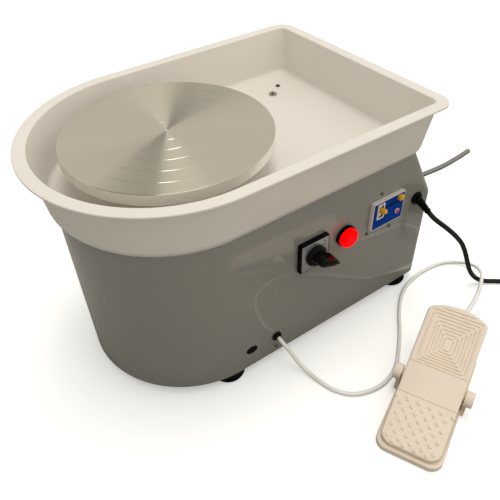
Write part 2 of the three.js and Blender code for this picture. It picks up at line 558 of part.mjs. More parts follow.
// ---- free cords and the plug
add('power_cord', tube(POWER_CORD_ROUTE, POWER_CORD_RADIUS, 8, 20), BLACK_PLASTIC());
add('power_cord_coil', ring(COIL.inner, COIL.outer, 0, COIL.height, 40)
  .translate(COIL.x, COIL.y, 0), BLACK_PLASTIC());
add('power_cord_tail', tube(POWER_CORD_TAIL, POWER_CORD_RADIUS, 8, 6), BLACK_PLASTIC());
function powerPlug() {
  const { x, y, z, radius, length } = PLUG;
  const body = turned([
    [0, 0], [4.6, 0], [5.6, 8], [radius - 2, 16], [radius, 20], [radius, length - 1],
    [radius - 1, length], [0, length],
  ], 24);
  const blade = (side) => box([side * 6.35 - 0.75, side * 6.35 + 0.75], [-3.15, 3.15],
    [length - 2, length + 17]);
  const earthPin = disc(2.4, length - 2, length + 20, 12).translate(0, -7.5, 0);
  return along(join(body, blade(-1), blade(1), earthPin), [0, 1, 0], [x, y, z]);
}
add('power_plug', powerPlug(), BLACK_PLASTIC());
add('pedal_cord', tube(PEDAL_CORD_ROUTE, PEDAL_CORD_RADIUS, 8, 54), WHITE_PLASTIC());

// ---- foot pedal, in its own frame: +X towards the toe end, +Y to the side by the cabinet
function pedalBase() {
  const { halfWidth: w, near, far, base, pivotAt, pivotHeight } = PEDAL;
  const tray = plate([
    ...arc(near + 16, 16 - w, 16, 180, 270, 5), ...arc(far - 10, 10 - w, 10, 270, 360, 4),
    ...arc(far - 10, w - 10, 10, 0, 90, 4), ...arc(near + 16, w - 16, 16, 90, 180, 5),
  ], 0, base);
  const overlap = 0.7;
  const ears = [-1, 1].flatMap((side) => {
    const span = (reach) => [side * (w - overlap), side * (w + reach)].sort((a, b) => a - b);
    const boss = along(disc(PEDAL.earRadius, ...span(PEDAL.earReach), 28), [0, 1, 0],
      [pivotAt, 0, pivotHeight]);
    const web = [pivotAt - PEDAL.webWidth / 2, pivotAt + PEDAL.webWidth / 2];
    return [boss, box(web, span(PEDAL.webReach), [0.5, pivotHeight])];
  });
  const pinHole = along(disc(PEDAL.pinRadius + GAP, -60, 60, 20), [0, 1, 0],
    [pivotAt, 0, pivotHeight]);
  return cut(join(tray, ...ears), pinHole);
}
add('pedal_base', pedalBase(), CREAM_PLASTIC(), pedal);
add('pedal_axle', along(disc(PEDAL.pinRadius, -PEDAL.halfWidth - 9.5, PEDAL.halfWidth + 9.5, 20),
  [0, 1, 0], [PEDAL.pivotAt, 0, PEDAL.pivotHeight]), STEEL(), pedal);
add('pedal_sensor', box([6, 44], [-19, 19], [PEDAL.base + GAP, 21]), BLACK_PLASTIC(), pedal);
add('pedal_cord_boot', along(turned([[0, 0], [4.8, 0], [3.3, 12], [0, 12]], 16), [1, 0, 0],
  [PEDAL.far + GAP, 0, 6]), CREAM_PLASTIC(), pedal);

// The treadle is made flat about its pivot, then tilted toe up.
function treadlePiece() {
  const { halfWidth: w, near, far, crown, above, thickness } = TREADLE;
  const toe = [-0.6, -0.4, -0.2, 0, 0.2, 0.4, 0.6].map((share) =>
    new THREE.Vector2(far + crown * (1 - share * share), share * w));
  const outline = [
    ...arc(near + 15, 15 - w + 3, 15, 180, 262, 5), ...arc(far - 9, 12 - w, 12, 278, 345, 4), ...toe,
    ...arc(far - 9, w - 12, 12, 15, 82, 4), ...arc(near + 15, w - 3 - 15, 15, 98, 180, 5),
  ];
  const slab = plate(outline, above - thickness, above);
  const barrel = along(disc(6.5, -w, w, 24), [0, 1, 0], [0, 0, 0]);
  const bore = along(disc(PEDAL.pinRadius + GAP, -w - 5, w + 5, 20), [0, 1, 0], [0, 0, 0]);
  return cut(join(slab, barrel), bore);
}
const treadle = add('treadle', treadlePiece(), CREAM_PLASTIC(), pedal);
treadle.rotation.y = -rad(TREADLE.tilt);
treadle.position.set(PEDAL.pivotAt, 0, PEDAL.pivotHeight);

// ---------------------------------------------------------------- origin under the footprint
// The free mains lead and its plug and the pedal's lead are left out of the footprint.
const CORD_PIECES = ['power_cord', 'power_cord_coil', 'power_cord_tail', 'power_plug', 'pedal_cord'];
machine.updateMatrixWorld(true);
const footprint = new THREE.Box3();
machine.traverse((piece) => {
  if (piece.isMesh && !CORD_PIECES.includes(piece.name)) footprint.expandByObject(piece, true);
});
const middle = footprint.getCenter(new THREE.Vector3());
machine.position.set(-middle.x, -middle.y, -footprint.min.z);

const potteryWheel = new THREE.Group();
potteryWheel.add(machine);
export default potteryWheel;
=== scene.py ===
"""Looks of a table-top pottery wheel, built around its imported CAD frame.

Shapes are laid out in millimetres about the wheel's own axis, with the bench at z = 0, +X towards
the square end and -Y towards the controls, and are carried into the row frame by LAYOUT.
"""
import math

import bmesh
import bpy
from mathutils import Matrix, Vector


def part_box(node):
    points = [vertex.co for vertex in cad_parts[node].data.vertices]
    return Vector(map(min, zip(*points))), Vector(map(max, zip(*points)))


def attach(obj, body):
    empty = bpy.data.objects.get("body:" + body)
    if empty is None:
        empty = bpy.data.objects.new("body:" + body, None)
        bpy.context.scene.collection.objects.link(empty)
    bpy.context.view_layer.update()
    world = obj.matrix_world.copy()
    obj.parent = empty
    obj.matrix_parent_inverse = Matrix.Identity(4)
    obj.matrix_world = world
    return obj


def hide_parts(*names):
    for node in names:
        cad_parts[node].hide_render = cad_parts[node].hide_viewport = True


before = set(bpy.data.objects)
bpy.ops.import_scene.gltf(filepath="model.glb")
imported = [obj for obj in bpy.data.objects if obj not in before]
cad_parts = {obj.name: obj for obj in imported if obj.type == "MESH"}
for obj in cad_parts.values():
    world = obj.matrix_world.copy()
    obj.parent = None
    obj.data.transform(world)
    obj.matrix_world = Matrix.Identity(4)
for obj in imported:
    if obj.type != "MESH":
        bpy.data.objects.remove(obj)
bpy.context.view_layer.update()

rad = math.radians
LOW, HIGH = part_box("wheel_head")
LAYOUT = Matrix.Translation(((LOW[0] + HIGH[0]) / 2, (LOW[1] + HIGH[1]) / 2, 0)) @ Matrix.Scale(0.001, 4)


def at(x, y, z):
    """A point of the layout, in the row frame's metres."""
    return LAYOUT @ Vector((x, y, z))


def shift(x, y, z):
    return Matrix.Translation((x, y, z))


def turn(degrees, axis):
    return Matrix.Rotation(rad(degrees), 4, axis)


# ---------------------------------------------------------------- driving dimensions, those of the CAD
SEAT = 0.3  # air between two pieces that rest on each other
HALF_WIDTH = 140  # of the cabinet, and of the pan where it sits on it
ROUND_CENTRE = -4  # middle of the round end
CORNER = 12
CABINET_RIGHT = 327
CABINET_BOTTOM = 14
CABINET_TOP = 248
SLOPE_FOOT = 168
SLOPE_RUN = 45.5  # how far the square end has leaned in at the cabinet's top
PAN_RIGHT = 272
PAN_FLOOR = 260
PAN_TOP = 322.9
PAN_SCREW_PLACE = (237, 102)
WASHER_SCREW_PLACE = (215, 85)
WHEEL_RADIUS = 125.0
WHEEL_BOTTOM = 301.5
WHEEL_TOP = 315.5
PANEL_Y = -140.0
CONTROL_ROW = 170
CORD_ROW = 47
SELECTOR_X = 107.5
KNOB_TILT = -24
LAMP_X = 162.3
BREAKER_PLACE = (232.5, 179)
GLAND_PLACE = (293, 170.5)
BOOT_TURN = 20
BOOT_DROOP = 40
PEDAL_GROMMET_X = 52.5
BLANK_GROMMET_X = 12
LEVER_PIVOT = (300, -100, 164)
PEDAL_PLACE = (173.4, -310.8, 0)
PEDAL_TURN = 25.4
PEDAL_PIVOT = (0.75, 0, 28)
EAR_START = 40.3  # from the pedal's middle line to an ear's inner face
TREADLE_TILT = 14.3
TREADLE_HALF_WIDTH = 39.7
TREADLE_TOP = 11.0  # above the pivot, square to the treadle

# ---------------------------------------------------------------- camera
CAMERA_PLACE = (-240.0, -528.1, 641.4)
CAMERA_HEADING = -33.36
CAMERA_DIP = 42.01
CAMERA_ROLL = -2.38
FOCAL_LENGTH = 40.31
camera = bpy.data.objects.new("camera", bpy.data.cameras.new("camera"))
bpy.context.scene.collection.objects.link(camera)
camera.data.sensor_width = 36
camera.data.lens = FOCAL_LENGTH
camera.data.clip_start = 0.01
camera.matrix_world = (Matrix.Translation(at(*CAMERA_PLACE)) @ turn(CAMERA_HEADING, "Z")
                       @ turn(90 - CAMERA_DIP, "X") @ turn(CAMERA_ROLL, "Z"))
bpy.context.scene.camera = camera
bpy.context.scene.view_settings.view_transform = "Standard"


# ---------------------------------------------------------------- materials
def linear(rgb):
    """An 8-bit screen colour as linear light."""
    out = []
    for c in rgb:
        c /= 255
        out.append(c / 12.92 if c <= 0.04045 else ((c + 0.055) / 1.055) ** 2.4)
    return (*out, 1.0)


def shade(colour, k):
    return tuple(min(1.0, c * k) for c in colour[:3]) + (1.0,)


def vector_math(tree, operation, value, other=None):
    """The outputs of a vector node fed by a socket and, where it takes one, a fixed vector."""
    node = tree.nodes.new("ShaderNodeVectorMath")
    node.operation = operation
    tree.links.new(value, node.inputs[0])
    if other is not None:
        node.inputs[1].default_value = other
    return node.outputs


def map_range(tree, value, low, high, top=1.0, interpolation="LINEAR"):
    """Nothing below low and top above high."""
    node = tree.nodes.new("ShaderNodeMapRange")
    node.interpolation_type = interpolation
    node.inputs["From Min"].default_value = low
    node.inputs["From Max"].default_value = high
    node.inputs["To Max"].default_value = top
    tree.links.new(value, node.inputs["Value"])
    return node.outputs["Result"]


def mix_colours(tree, factor, first, second):
    """first where the factor is 0 and second where it is 1; each is a colour or a socket."""
    node = tree.nodes.new("ShaderNodeMix")
    node.data_type = "RGBA"
    tree.links.new(factor, node.inputs["Factor"])
    for slot, colour in ((6, first), (7, second)):
        if isinstance(colour, tuple):
            node.inputs[slot].default_value = colour
        else:
            tree.links.new(colour, node.inputs[slot])
    return node.outputs[2]


def lit(surface, colour, strength):
    surface.bsdf.inputs["Emission Color"].default_value = colour
    surface.bsdf.inputs["Emission Strength"].default_value = strength
    return surface.material


class Surface:
    """A procedural material: mottled colour, uneven gloss and a fine bump, in object space."""

    def __init__(self, name, rgb, roughness, metallic=0.0, coat=0.0, mottle=0.05, mottle_scale=25.0,
                 uneven=0.05, grain=0.15, grain_scale=900.0, grain_depth=0.00012, stretch=(1, 1, 1),
                 specular=0.4):
        self.material = bpy.data.materials.new(name)
        self.material.use_nodes = True
        self.nodes = self.material.node_tree.nodes
        self.links = self.material.node_tree.links
        self.bsdf = self.nodes["Principled BSDF"]
        colour = linear(rgb)
        self.coords = self.nodes.new("ShaderNodeTexCoord")
        mapping = self.nodes.new("ShaderNodeMapping")
        mapping.inputs["Scale"].default_value = stretch
        self.links.new(self.coords.outputs["Object"], mapping.inputs["Vector"])
        self.vector = mapping.outputs["Vector"]
        broad = self.noise(mottle_scale, 5.0)
        ramp = self.nodes.new("ShaderNodeValToRGB")
        ramp.color_ramp.elements[0].position = 0.3
        ramp.color_ramp.elements[0].color = shade(colour, 1 - mottle)
        ramp.color_ramp.elements[1].position = 0.7
        ramp.color_ramp.elements[1].color = shade(colour, 1 + mottle)
        self.links.new(broad, ramp.inputs["Fac"])
        self.links.new(ramp.outputs["Color"], self.bsdf.inputs["Base Color"])
        fine = self.noise(grain_scale, 3.0)
        gloss = self.nodes.new("ShaderNodeMapRange")
        gloss.inputs["To Min"].default_value = max(0.02, roughness - uneven)
        gloss.inputs["To Max"].default_value = roughness + uneven
        self.links.new(self.noise(mottle_scale * 3, 4.0), gloss.inputs["Value"])
        self.links.new(gloss.outputs["Result"], self.bsdf.inputs["Roughness"])
        self.bump = self.nodes.new("ShaderNodeBump")
        self.bump.inputs["Strength"].default_value = grain
        self.bump.inputs["Distance"].default_value = grain_depth
        self.links.new(fine, self.bump.inputs["Height"])
        self.links.new(self.bump.outputs["Normal"], self.bsdf.inputs["Normal"])
        self.bsdf.inputs["Metallic"].default_value = metallic
        self.bsdf.inputs["Coat Weight"].default_value = coat
        self.bsdf.inputs["Coat Roughness"].default_value = 0.04
        self.bsdf.inputs["Specular IOR Level"].default_value = specular

    def noise(self, scale, detail):
        node = self.nodes.new("ShaderNodeTexNoise")
        node.inputs["Scale"].default_value = scale
        node.inputs["Detail"].default_value = detail
        self.links.new(self.vector, node.inputs["Vector"])
        return node.outputs["Fac"]


PAN_WHITE = Surface("pan_white", (231, 225, 216), 0.32, mottle=0.02, mottle_scale=9, grain=0.12,
                    grain_scale=420, coat=0.15).material
GREY_PAINT = Surface("grey_gloss_paint", (138, 137, 130), 0.22, coat=0.85, mottle=0.03, mottle_scale=6,
                     uneven=0.03, grain=0.25, grain_scale=260, grain_depth=0.0001).material
CREAM = Surface("cream_moulded", (241, 226, 208), 0.46, mottle=0.02, mottle_scale=30, grain=0.3,
                grain_scale=1300).material
WHITE_TRIM = Surface("white_trim", (226, 220, 210), 0.35, mottle=0.03, mottle_scale=60).material
WHITE_FLEX = Surface("white_flex", (252, 252, 246), 0.42, mottle=0.04, mottle_scale=60).material
BLACK_FLEX = Surface("black_flex", (9, 9, 8), 0.34, mottle=0.15, mottle_scale=60, specular=0.3).material
BLACK = Surface("black_moulded", (5, 5, 4), 0.34, mottle=0.15, mottle_scale=70, grain=0.25,
                specular=0.08).material
BLACK_GLOSS = Surface("black_gloss_moulded", (11, 10, 8), 0.2, mottle=0.15, mottle_scale=70, grain=0.2,
                      specular=0.12).material
RUBBER = Surface("black_rubber", (6, 6, 5), 0.7, mottle=0.2, mottle_scale=80, grain=0.5,
                 specular=0.12).material
YELLOW = Surface("yellow_moulded", (238, 182, 30), 0.35, mottle=0.06, mottle_scale=120).material
BLUE = Surface("blue_moulded", (0, 60, 152), 0.34, mottle=0.08, mottle_scale=90, specular=0.03).material
DARK_RED = Surface("dark_red_inlay", (62, 5, 15), 0.4, specular=0.1, mottle=0.12, mottle_scale=200).material
PINK_RED = Surface("indicator_red", (226, 44, 104), 0.25, mottle=0.06, mottle_scale=200).material
STEEL = Surface("bright_steel", (176, 174, 168), 0.26, metallic=1, mottle=0.06, mottle_scale=40,
                grain=0.2, grain_scale=300, stretch=(0.15, 1, 1)).material
ROD_STEEL = Surface("lever_rod_steel", (150, 149, 146), 0.3, metallic=1, mottle=0.06, mottle_scale=40,
                    grain=0.2, grain_scale=300, stretch=(0.15, 1, 1)).material
DULL_STEEL = Surface("dull_screw_steel", (120, 116, 96), 0.4, metallic=0.9, mottle=0.12, mottle_scale=90,
                     grain=0.3, grain_scale=700).material
DARK_STEEL = Surface("dark_steel", (66, 64, 60), 0.42, metallic=0.7, mottle=0.12, mottle_scale=30,
                     grain=0.3, grain_scale=500).material
CAST_STEEL = Surface("zinc_plated_steel", (150, 148, 140), 0.38, metallic=1, mottle=0.1,
                     mottle_scale=25, grain=0.3, grain_scale=700).material
CIRCUIT = Surface("circuit_board", (24, 92, 52), 0.4, mottle=0.25, mottle_scale=110, grain=0.3).material
LENS = lit(Surface("lit_red_lens", (255, 0, 4), 0.18, specular=0.04, mottle=0.03, mottle_scale=300,
                   grain=0.4, grain_scale=500, grain_depth=0.0004), (1.0, 0.0, 0.001, 1.0), 0.9)


def turned_metal(name, rgb, side_reflection_rgb, roughness):
    """Aluminium faced on a lathe: the gloss runs in circles about the piece's middle."""
    surface = Surface(name, rgb, roughness, metallic=1, mottle=0.015, mottle_scale=8, uneven=0.02,
                      grain=0.0)
    tree = surface.material.node_tree
    bsdf = surface.bsdf
    bsdf.inputs["Anisotropic Rotation"].default_value = 0.25
    tangent = tree.nodes.new("ShaderNodeTangent")
    tangent.direction_type = "RADIAL"
    tangent.axis = "Z"
    tree.links.new(tangent.outputs["Tangent"], bsdf.inputs["Tangent"])
    centred = vector_math(tree, "SUBTRACT", surface.coords.outputs["Object"], at(0, 0, 0))
    level = vector_math(tree, "MULTIPLY", centred["Vector"], (1, 1, 0))
    radius = vector_math(tree, "LENGTH", level["Vector"])["Value"]
    marks = tree.nodes.new("ShaderNodeTexNoise")
    marks.noise_dimensions = "1D"
    marks.inputs["Scale"].default_value = 700
    marks.inputs["Detail"].default_value = 2
    tree.links.new(radius, marks.inputs["W"])
    tree.links.new(marks.outputs["Fac"], surface.bump.inputs["Height"])
    surface.bump.inputs["Strength"].default_value = 0.10
    surface.bump.inputs["Distance"].default_value = 0.00004
    geometry = tree.nodes.new("ShaderNodeNewGeometry")
    split = tree.nodes.new("ShaderNodeSeparateXYZ")
    tree.links.new(geometry.outputs["True Normal"], split.inputs["Vector"])
    upward = split.outputs["Z"]
    # faced top: coarse and circular; groove walls and the edge's rounding: cut bright; side: plain
    by_lean = tree.nodes.new("ShaderNodeValToRGB")
    stops = by_lean.color_ramp.elements
    stops[0].position = 0.10
    stops[1].position = 0.99
    for position in (0.30, 0.97):
        stops.new(position)
    for stop, value in zip(stops, (0.30, 0.11, 0.11, roughness)):
        stop.color = (value, value, value, 1)
    tree.links.new(upward, by_lean.inputs["Fac"])
    tree.links.new(by_lean.outputs["Color"], bsdf.inputs["Roughness"])
    tree.links.new(map_range(tree, upward, 0.975, 0.99), bsdf.inputs["Anisotropic"])
    faced = bsdf.inputs["Base Color"].links[0].from_socket
    # the side's paler, cooler base colour is painted reflection of the bright surroundings, not a different
    # metal
    side_reflection_tint = mix_colours(tree, map_range(tree, upward, 0.1, 0.3), linear(side_reflection_rgb), faced)
    tree.links.new(side_reflection_tint, bsdf.inputs["Base Color"])
    return surface.material


# the second colour is the side's painted reflection
TURNED = turned_metal("turned_aluminium", (208, 200, 184), (246, 245, 240), 0.27)
ALUMINIUM = Surface("machined_aluminium", (196, 192, 184), 0.3, metallic=1, mottle=0.04,
                    mottle_scale=30, grain=0.2, grain_scale=600).material
BRUSHED_PLATE = Surface("brushed_plate", (178, 180, 186), 0.36, metallic=0.85, mottle=0.06,
                        mottle_scale=60, grain=0.5, grain_scale=900, stretch=(1, 1, 0.05)).material


# ---------------------------------------------------------------- shapes as (vertices, faces)
def arc(cx, cy, radius, start, end, steps):
    angles = [rad(start + (end - start) * i / steps) for i in range(steps + 1)]
    return [(cx + radius * math.cos(a), cy + radius * math.sin(a)) for a in angles]


def fillet(points, radii, closed=False, step=15):
    """A 2-D polyline with its corners rounded."""
    count = len(points)
    out = []
    for i, (p, r) in enumerate(zip(points, radii)):
        if r <= 0 or (not closed and i in (0, count - 1)):
            out.append(tuple(p))
            continue
        here = Vector(p)
        a = Vector(points[i - 1]) - here
        b = Vector(points[(i + 1) % count]) - here
        corner = a.angle(b)
        if corner > rad(179):
            out.append(tuple(p))
            continue
        reach = min(r / math.tan(corner / 2), 0.48 * a.length, 0.48 * b.length)
        r = reach * math.tan(corner / 2)
        centre = here + (a.normalized() + b.normalized()).normalized() * r / math.sin(corner / 2)
        start = here + a.normalized() * reach - centre
        sweep = start.angle_signed(here + b.normalized() * reach - centre)
        steps = max(2, round(abs(math.degrees(sweep)) / step))
        for k in range(steps + 1):
            spin = Matrix.Rotation(-sweep * k / steps, 2)
            q = centre + spin @ start
            out.append((q.x, q.y))
    return out


def inset(outline, distance):
    """A counter-clockwise outline moved inwards."""
    out = []
    count = len(outline)
    for i, p in enumerate(outline):
        before = Vector(p) - Vector(outline[i - 1])
        after = Vector(outline[(i + 1) % count]) - Vector(p)
        n1 = Vector((-before.y, before.x)).normalized()
        n2 = Vector((-after.y, after.x)).normalized()
        middle = (n1 + n2).normalized()
        scale = distance / max(0.35, middle.dot(n1))
        out.append((p[0] + middle.x * scale, p[1] + middle.y * scale))
    return out


def loft(rings, loop=False):
    """A skin over rings of points, closed by a face at each end or joined round in a loop."""
    count = len(rings[0])
    vertices = [tuple(v) for r in rings for v in r]
    faces = []
    for k in range(len(rings) - (0 if loop else 1)):
        a0 = k * count
        b0 = (k + 1) % len(rings) * count
        for i in range(count):
            j = (i + 1) % count
            faces.append((a0 + i, a0 + j, b0 + j, b0 + i))
    if not loop:
        faces.append(tuple(range(count - 1, -1, -1)))
        faces.append(tuple(range((len(rings) - 1) * count, len(rings) * count)))
    return vertices, faces


def ring_at(outline, z):
    return [(x, y, z) for x, y in outline]


def prism(outline, z0, z1, low=0.0, high=0.0, steps=4):
    """An upright block with its lower and upper edges rounded."""
    rings = []
    for k in range(steps + 1 if low else 1):
        a = rad(90 * k / steps)
        rings.append(ring_at(inset(outline, low * (1 - math.sin(a))), z0 + low * (1 - math.cos(a))))
    for k in range(steps + 1 if high else 1):
        a = rad(90 * k / steps)
        rings.append(ring_at(inset(outline, high * (1 - math.cos(a))), z1 - high + high * math.sin(a)))
    return loft(rings)


def turned(profile, segments=64):
    """A body of revolution about +Z; a profile that ends where it starts makes a ring."""
    closed = profile[0] == profile[-1]
    points = profile[:-1] if closed else profile
    vertices, rows = [], []
    for r, z in points:
        if r < 1e-6:
            rows.append([len(vertices)] * segments)
            vertices.append((0, 0, z))
            continue
        rows.append([len(vertices) + i for i in range(segments)])
        vertices += [(r * math.cos(2 * math.pi * i / segments), r * math.sin(2 * math.pi * i / segments), z)
                     for i in range(segments)]
    faces = []
    pairs = list(zip(rows, rows[1:])) + ([(rows[-1], rows[0])] if closed else [])
    for a, b in pairs:
        for i in range(segments):
            j = (i + 1) % segments
            face = []
            for v in (a[i], a[j], b[j], b[i]):
                if v not in face:
                    face.append(v)
            if len(face) > 2:
                faces.append(tuple(face))
    return vertices, faces


def moved(part, matrix):
    return [tuple(matrix @ Vector(v)) for v in part[0]], part[1]


def together(*parts):
    vertices, faces = [], []
    for v, f in parts:
        faces += [tuple(i + len(vertices) for i in face) for face in f]
        vertices = vertices + list(v)
    return vertices, faces


def rectangle(x0, x1, y0, y1):
    return [(x0, y0), (x1, y0), (x1, y1), (x0, y1)]


def rounded(x0, x1, y0, y1, radius):
    return fillet(rectangle(x0, x1, y0, y1), [radius] * 4, closed=True)


def window(half_x, half_y, radius, middle=(0, 0)):
    """A rounded rectangle about its middle."""
    x, y = middle
    return rounded(x - half_x, x + half_x, y - half_y, y + half_y, radius)


def brick(x0, x1, y0, y1, z0, z1, edge=0.0):
    outline = rounded(x0, x1, y0, y1, edge) if edge else rectangle(x0, x1, y0, y1)
    return prism(outline, z0, z1, edge * 0.7, edge * 0.7)


def smooth_path(points, spacing):
    """A centripetal Catmull-Rom curve through points, sampled about every spacing."""
    pts = [Vector(p) for p in points]
    pts = [2 * pts[0] - pts[1]] + pts + [2 * pts[-1] - pts[-2]]
    out = []
    for p0, p1, p2, p3 in zip(pts, pts[1:], pts[2:], pts[3:]):
        t1 = (p1 - p0).length ** 0.5
        t2 = t1 + (p2 - p1).length ** 0.5
        t3 = t2 + (p3 - p2).length ** 0.5
        steps = max(1, round((p2 - p1).length / spacing))
        for k in range(steps):
            t = t1 + (t2 - t1) * k / steps
            a1 = p0.lerp(p1, t / t1)
            a2 = p1.lerp(p2, (t - t1) / (t2 - t1))
            a3 = p2.lerp(p3, (t - t2) / (t3 - t2))
            b1 = a1.lerp(a2, t / t2)
            b2 = a2.lerp(a3, (t - t1) / (t3 - t1))
            out.append(b1.lerp(b2, (t - t1) / (t2 - t1)))
    return out + [pts[-2]]


def tube(path, radii, sides=20):
    """A round bar along a path, with its own radius at each point."""
    path = [Vector(p) for p in path]
    rings = []
    side = Vector((0, 0, 1))
    for i, p in enumerate(path):
        run = (path[min(i + 1, len(path) - 1)] - path[max(i - 1, 0)]).normalized()
        across = run.cross(side).normalized()
        up = across.cross(run).normalized()
        rings.append([p + radii[i] * (math.cos(a) * across + math.sin(a) * up)
                      for a in (2 * math.pi * k / sides for k in range(sides))])
    return loft(rings)


# ---------------------------------------------------------------- pieces
def mesh_object(name, part, matrix=Matrix()):
    mesh = bpy.data.meshes.new(name)
    vertices, faces = moved(part, LAYOUT @ matrix)
    mesh.from_pydata(vertices, [], faces)
    bm = bmesh.new()
    bm.from_mesh(mesh)
    bmesh.ops.recalc_face_normals(bm, faces=bm.faces)
    bm.to_mesh(mesh)
    bm.free()
    obj = bpy.data.objects.new(name, mesh)
    bpy.context.scene.collection.objects.link(obj)
    return obj


def carve(obj, part, matrix=Matrix(), operation="DIFFERENCE"):
    """Cut a part from a piece, or join it on; the part's own bodies must not overlap."""
    cutter = mesh_object("cutter", part, matrix)
    change = obj.modifiers.new("carve", "BOOLEAN")
    change.operation = operation
    change.solver = "EXACT"
    change.object = cutter
    graph = bpy.context.evaluated_depsgraph_get()
    result = bpy.data.meshes.new_from_object(obj.evaluated_get(graph))
    obj.modifiers.clear()
    obj.data = result
    bpy.data.objects.remove(cutter)


def finish_piece(obj, material, body, hides=(), sharp=38):
    """Shade it smooth up to an angle in degrees, and hand it to its body."""
    obj.data.materials.clear()
    obj.data.materials.append(material)
    obj.data.polygons.foreach_set("use_smooth", [True] * len(obj.data.polygons))
    obj.data.set_sharp_from_angle(angle=rad(sharp))
    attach(obj, body)
    if hides:
        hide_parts(*hides)
    return obj


def piece(name, part, material, body, hides=(), matrix=Matrix(), cuts=(), sharp=38):
    obj = mesh_object(name, part, matrix)
    for cut in cuts:
        carve(obj, cut, matrix)
    return finish_piece(obj, material, body, hides, sharp)


def on_panel(x, z):
    """A piece made along +Z stands out of the front panel at x, z, and keeps its own +X."""
    return shift(x, PANEL_Y, z) @ turn(90, "X")


# ---------------------------------------------------------------- free cords
# The route points are those of the CAD solids.
MAINS_RADIUS = 3.5
PEDAL_LEAD_RADIUS = 2.75
MAINS_ROUTE = [
    (299.4, -161.1, 154.8), (299.8, -162.1, 153.9), (301.3, -165.6, 150.6), (303.4, -168.6, 147.3),
    (306, -171.3, 144.1), (309, -173.6, 140.8), (313.4, -176.4, 136.4), (318, -179.2, 131.7),
    (328.6, -184.4, 120.4), (340, -189, 107), (350.2, -192.6, 93), (358, -195.7, 78),
    (363.8, -198.8, 62.5), (369, -201.6, 47.5), (374.8, -204.4, 33), (381.5, -207.8, 21.2),
    (389.5, -212, 12.2), (397.7, -216.4, 6.7), (406.4, -221.6, 4.1), (415.7, -228, 3.6),
    (424.7, -235.8, 3.6), (433.6, -244.8, 3.6), (442.8, -254.5, 3.6)
]
MAINS_TAIL = [(534.3, -238.5, 9.8), (535, -231, 10), (536, -221, 11.6), (536.5, -212, 12.9),
              (536.5, -205, 13)]
PEDAL_ROUTE = [
    (52.5, -145.4, 47), (52.6, -149.5, 46.4), (53.6, -154.8, 43.4), (56, -160.5, 37.4),
    (59.5, -167, 28.5), (63.2, -174.2, 18), (67, -183, 9.2), (70.5, -194, 4.4), (73.3, -208, 3),
    (80, -230, 2.8), (95, -249, 2.8), (116, -259, 2.8), (141, -261.5, 2.8), (169, -253.5, 2.8),
    (198, -233, 2.8), (224, -210, 2.8), (247, -187, 2.8), (271, -167, 2.8), (296, -153.5, 2.8),
    (324, -147, 2.8), (354, -146, 2.8), (383, -151, 3), (403, -164, 4), (410.5, -180.8, 8.6),
    (407.5, -198, 15), (397.8, -212.9, 18.2), (383.9, -223.7, 14.4), (366.5, -232.3, 7.4),
    (345, -240, 3.5), (318, -246.2, 3), (296, -253.2, 3.6), (277, -261.6, 5.2), (264.4, -267.6, 6),
]


def mains_coil():
    """Four and a half turns: out, in, up, and out again, a diameter apart."""
    centre_x, centre_y, start, turns = 492, -266, 200, 4.444
    wide, narrow, low, high = 42, 35, 3.6, 10.6

    def eased(t, middle):
        s = min(1.0, max(0.0, (t - middle) / 0.24 + 0.5))
        return s * s * (3 - 2 * s)

    points = []
    steps = round(turns * 24)
    for i in range(steps + 1):
        t = turns * i / steps
        r = wide + (narrow - wide) * (eased(t, 1) - eased(t, 3))
        z = low + (high - low) * eased(t, 2)
        a = rad(start + 360 * t)
        points.append((centre_x + r * math.cos(a), centre_y + r * math.sin(a), z))
    return points


def cord_curve(name, points, radius, material, hides):
    path = smooth_path(points, 2.5)
    curve = bpy.data.curves.new(name, "CURVE")
    curve.dimensions = "3D"
    spline = curve.splines.new("POLY")
    spline.points.add(len(path) - 1)
    for target, p in zip(spline.points, path):
        target.co = (*at(*p), 1.0)
    curve.bevel_depth = radius / 1000
    curve.bevel_resolution = 5
    curve.use_fill_caps = True
    curve.materials.append(material)
    obj = bpy.data.objects.new(name, curve)
    bpy.context.scene.collection.objects.link(obj)
    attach(obj, "frame")
    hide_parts(*hides)
    return obj


mains_lead = cord_curve("mains_lead", MAINS_ROUTE + mains_coil() + MAINS_TAIL, MAINS_RADIUS, BLACK_FLEX,
                        ["power_cord", "power_cord_coil", "power_cord_tail"])
pedal_lead = cord_curve("pedal_lead", PEDAL_ROUTE, PEDAL_LEAD_RADIUS, WHITE_FLEX,
                        ["pedal_cord"])


# ---------------------------------------------------------------- mains plug
def plug_parts():
    """Along +Z from the cord: a ribbed sleeve, a waisted grip and a flat face; plug_pins makes the three
    pins.
    """
    sleeve = [(0, 0)]
    for k in range(4):
        z = 1.2 + 3.4 * k
        r = 5.3 + 0.2 * k
        sleeve += [(r - 0.6, z), (r, z + 0.4), (r, z + 1.8), (r - 0.8, z + 2.2)]
    body = turned(sleeve + fillet([(5.4, 14.8), (10.8, 17), (12.5, 21), (12.5, 35), (0, 36)],
                                  [0, 3, 3, 1.2, 0]), 48)
    grips = [moved(brick(-0.9, 0.9, -4.5, 4.5, 0, 1.4, 0.5), turn(a, "Z")
                   @ shift(11.6, 0, 23 + 2.6 * k) @ turn(90, "Y"))
             for a in (0, 180) for k in range(4)]
    return together(body, *grips)


def plug_pins():
    blades = [brick(x - 0.75, x + 0.75, -3.15, 3.15, 34, 53, 0.5) for x in (-6.35, 6.35)]
    earth = moved(turned(fillet([(0, 34), (2.4, 34), (2.4, 56), (0, 56)], [0, 0, 2.1, 0]), 24),
                  shift(0, -7.5, 0))
    return together(*blades, earth)


PLUG_PLACE = shift(536.5, -204.7, 13) @ turn(-90, "X")
plug_body = piece("plug_body", plug_parts(), BLACK, "frame", ["power_plug"], PLUG_PLACE)
plug_metal = piece("plug_pins", plug_pins(), STEEL, "frame", (), PLUG_PLACE)


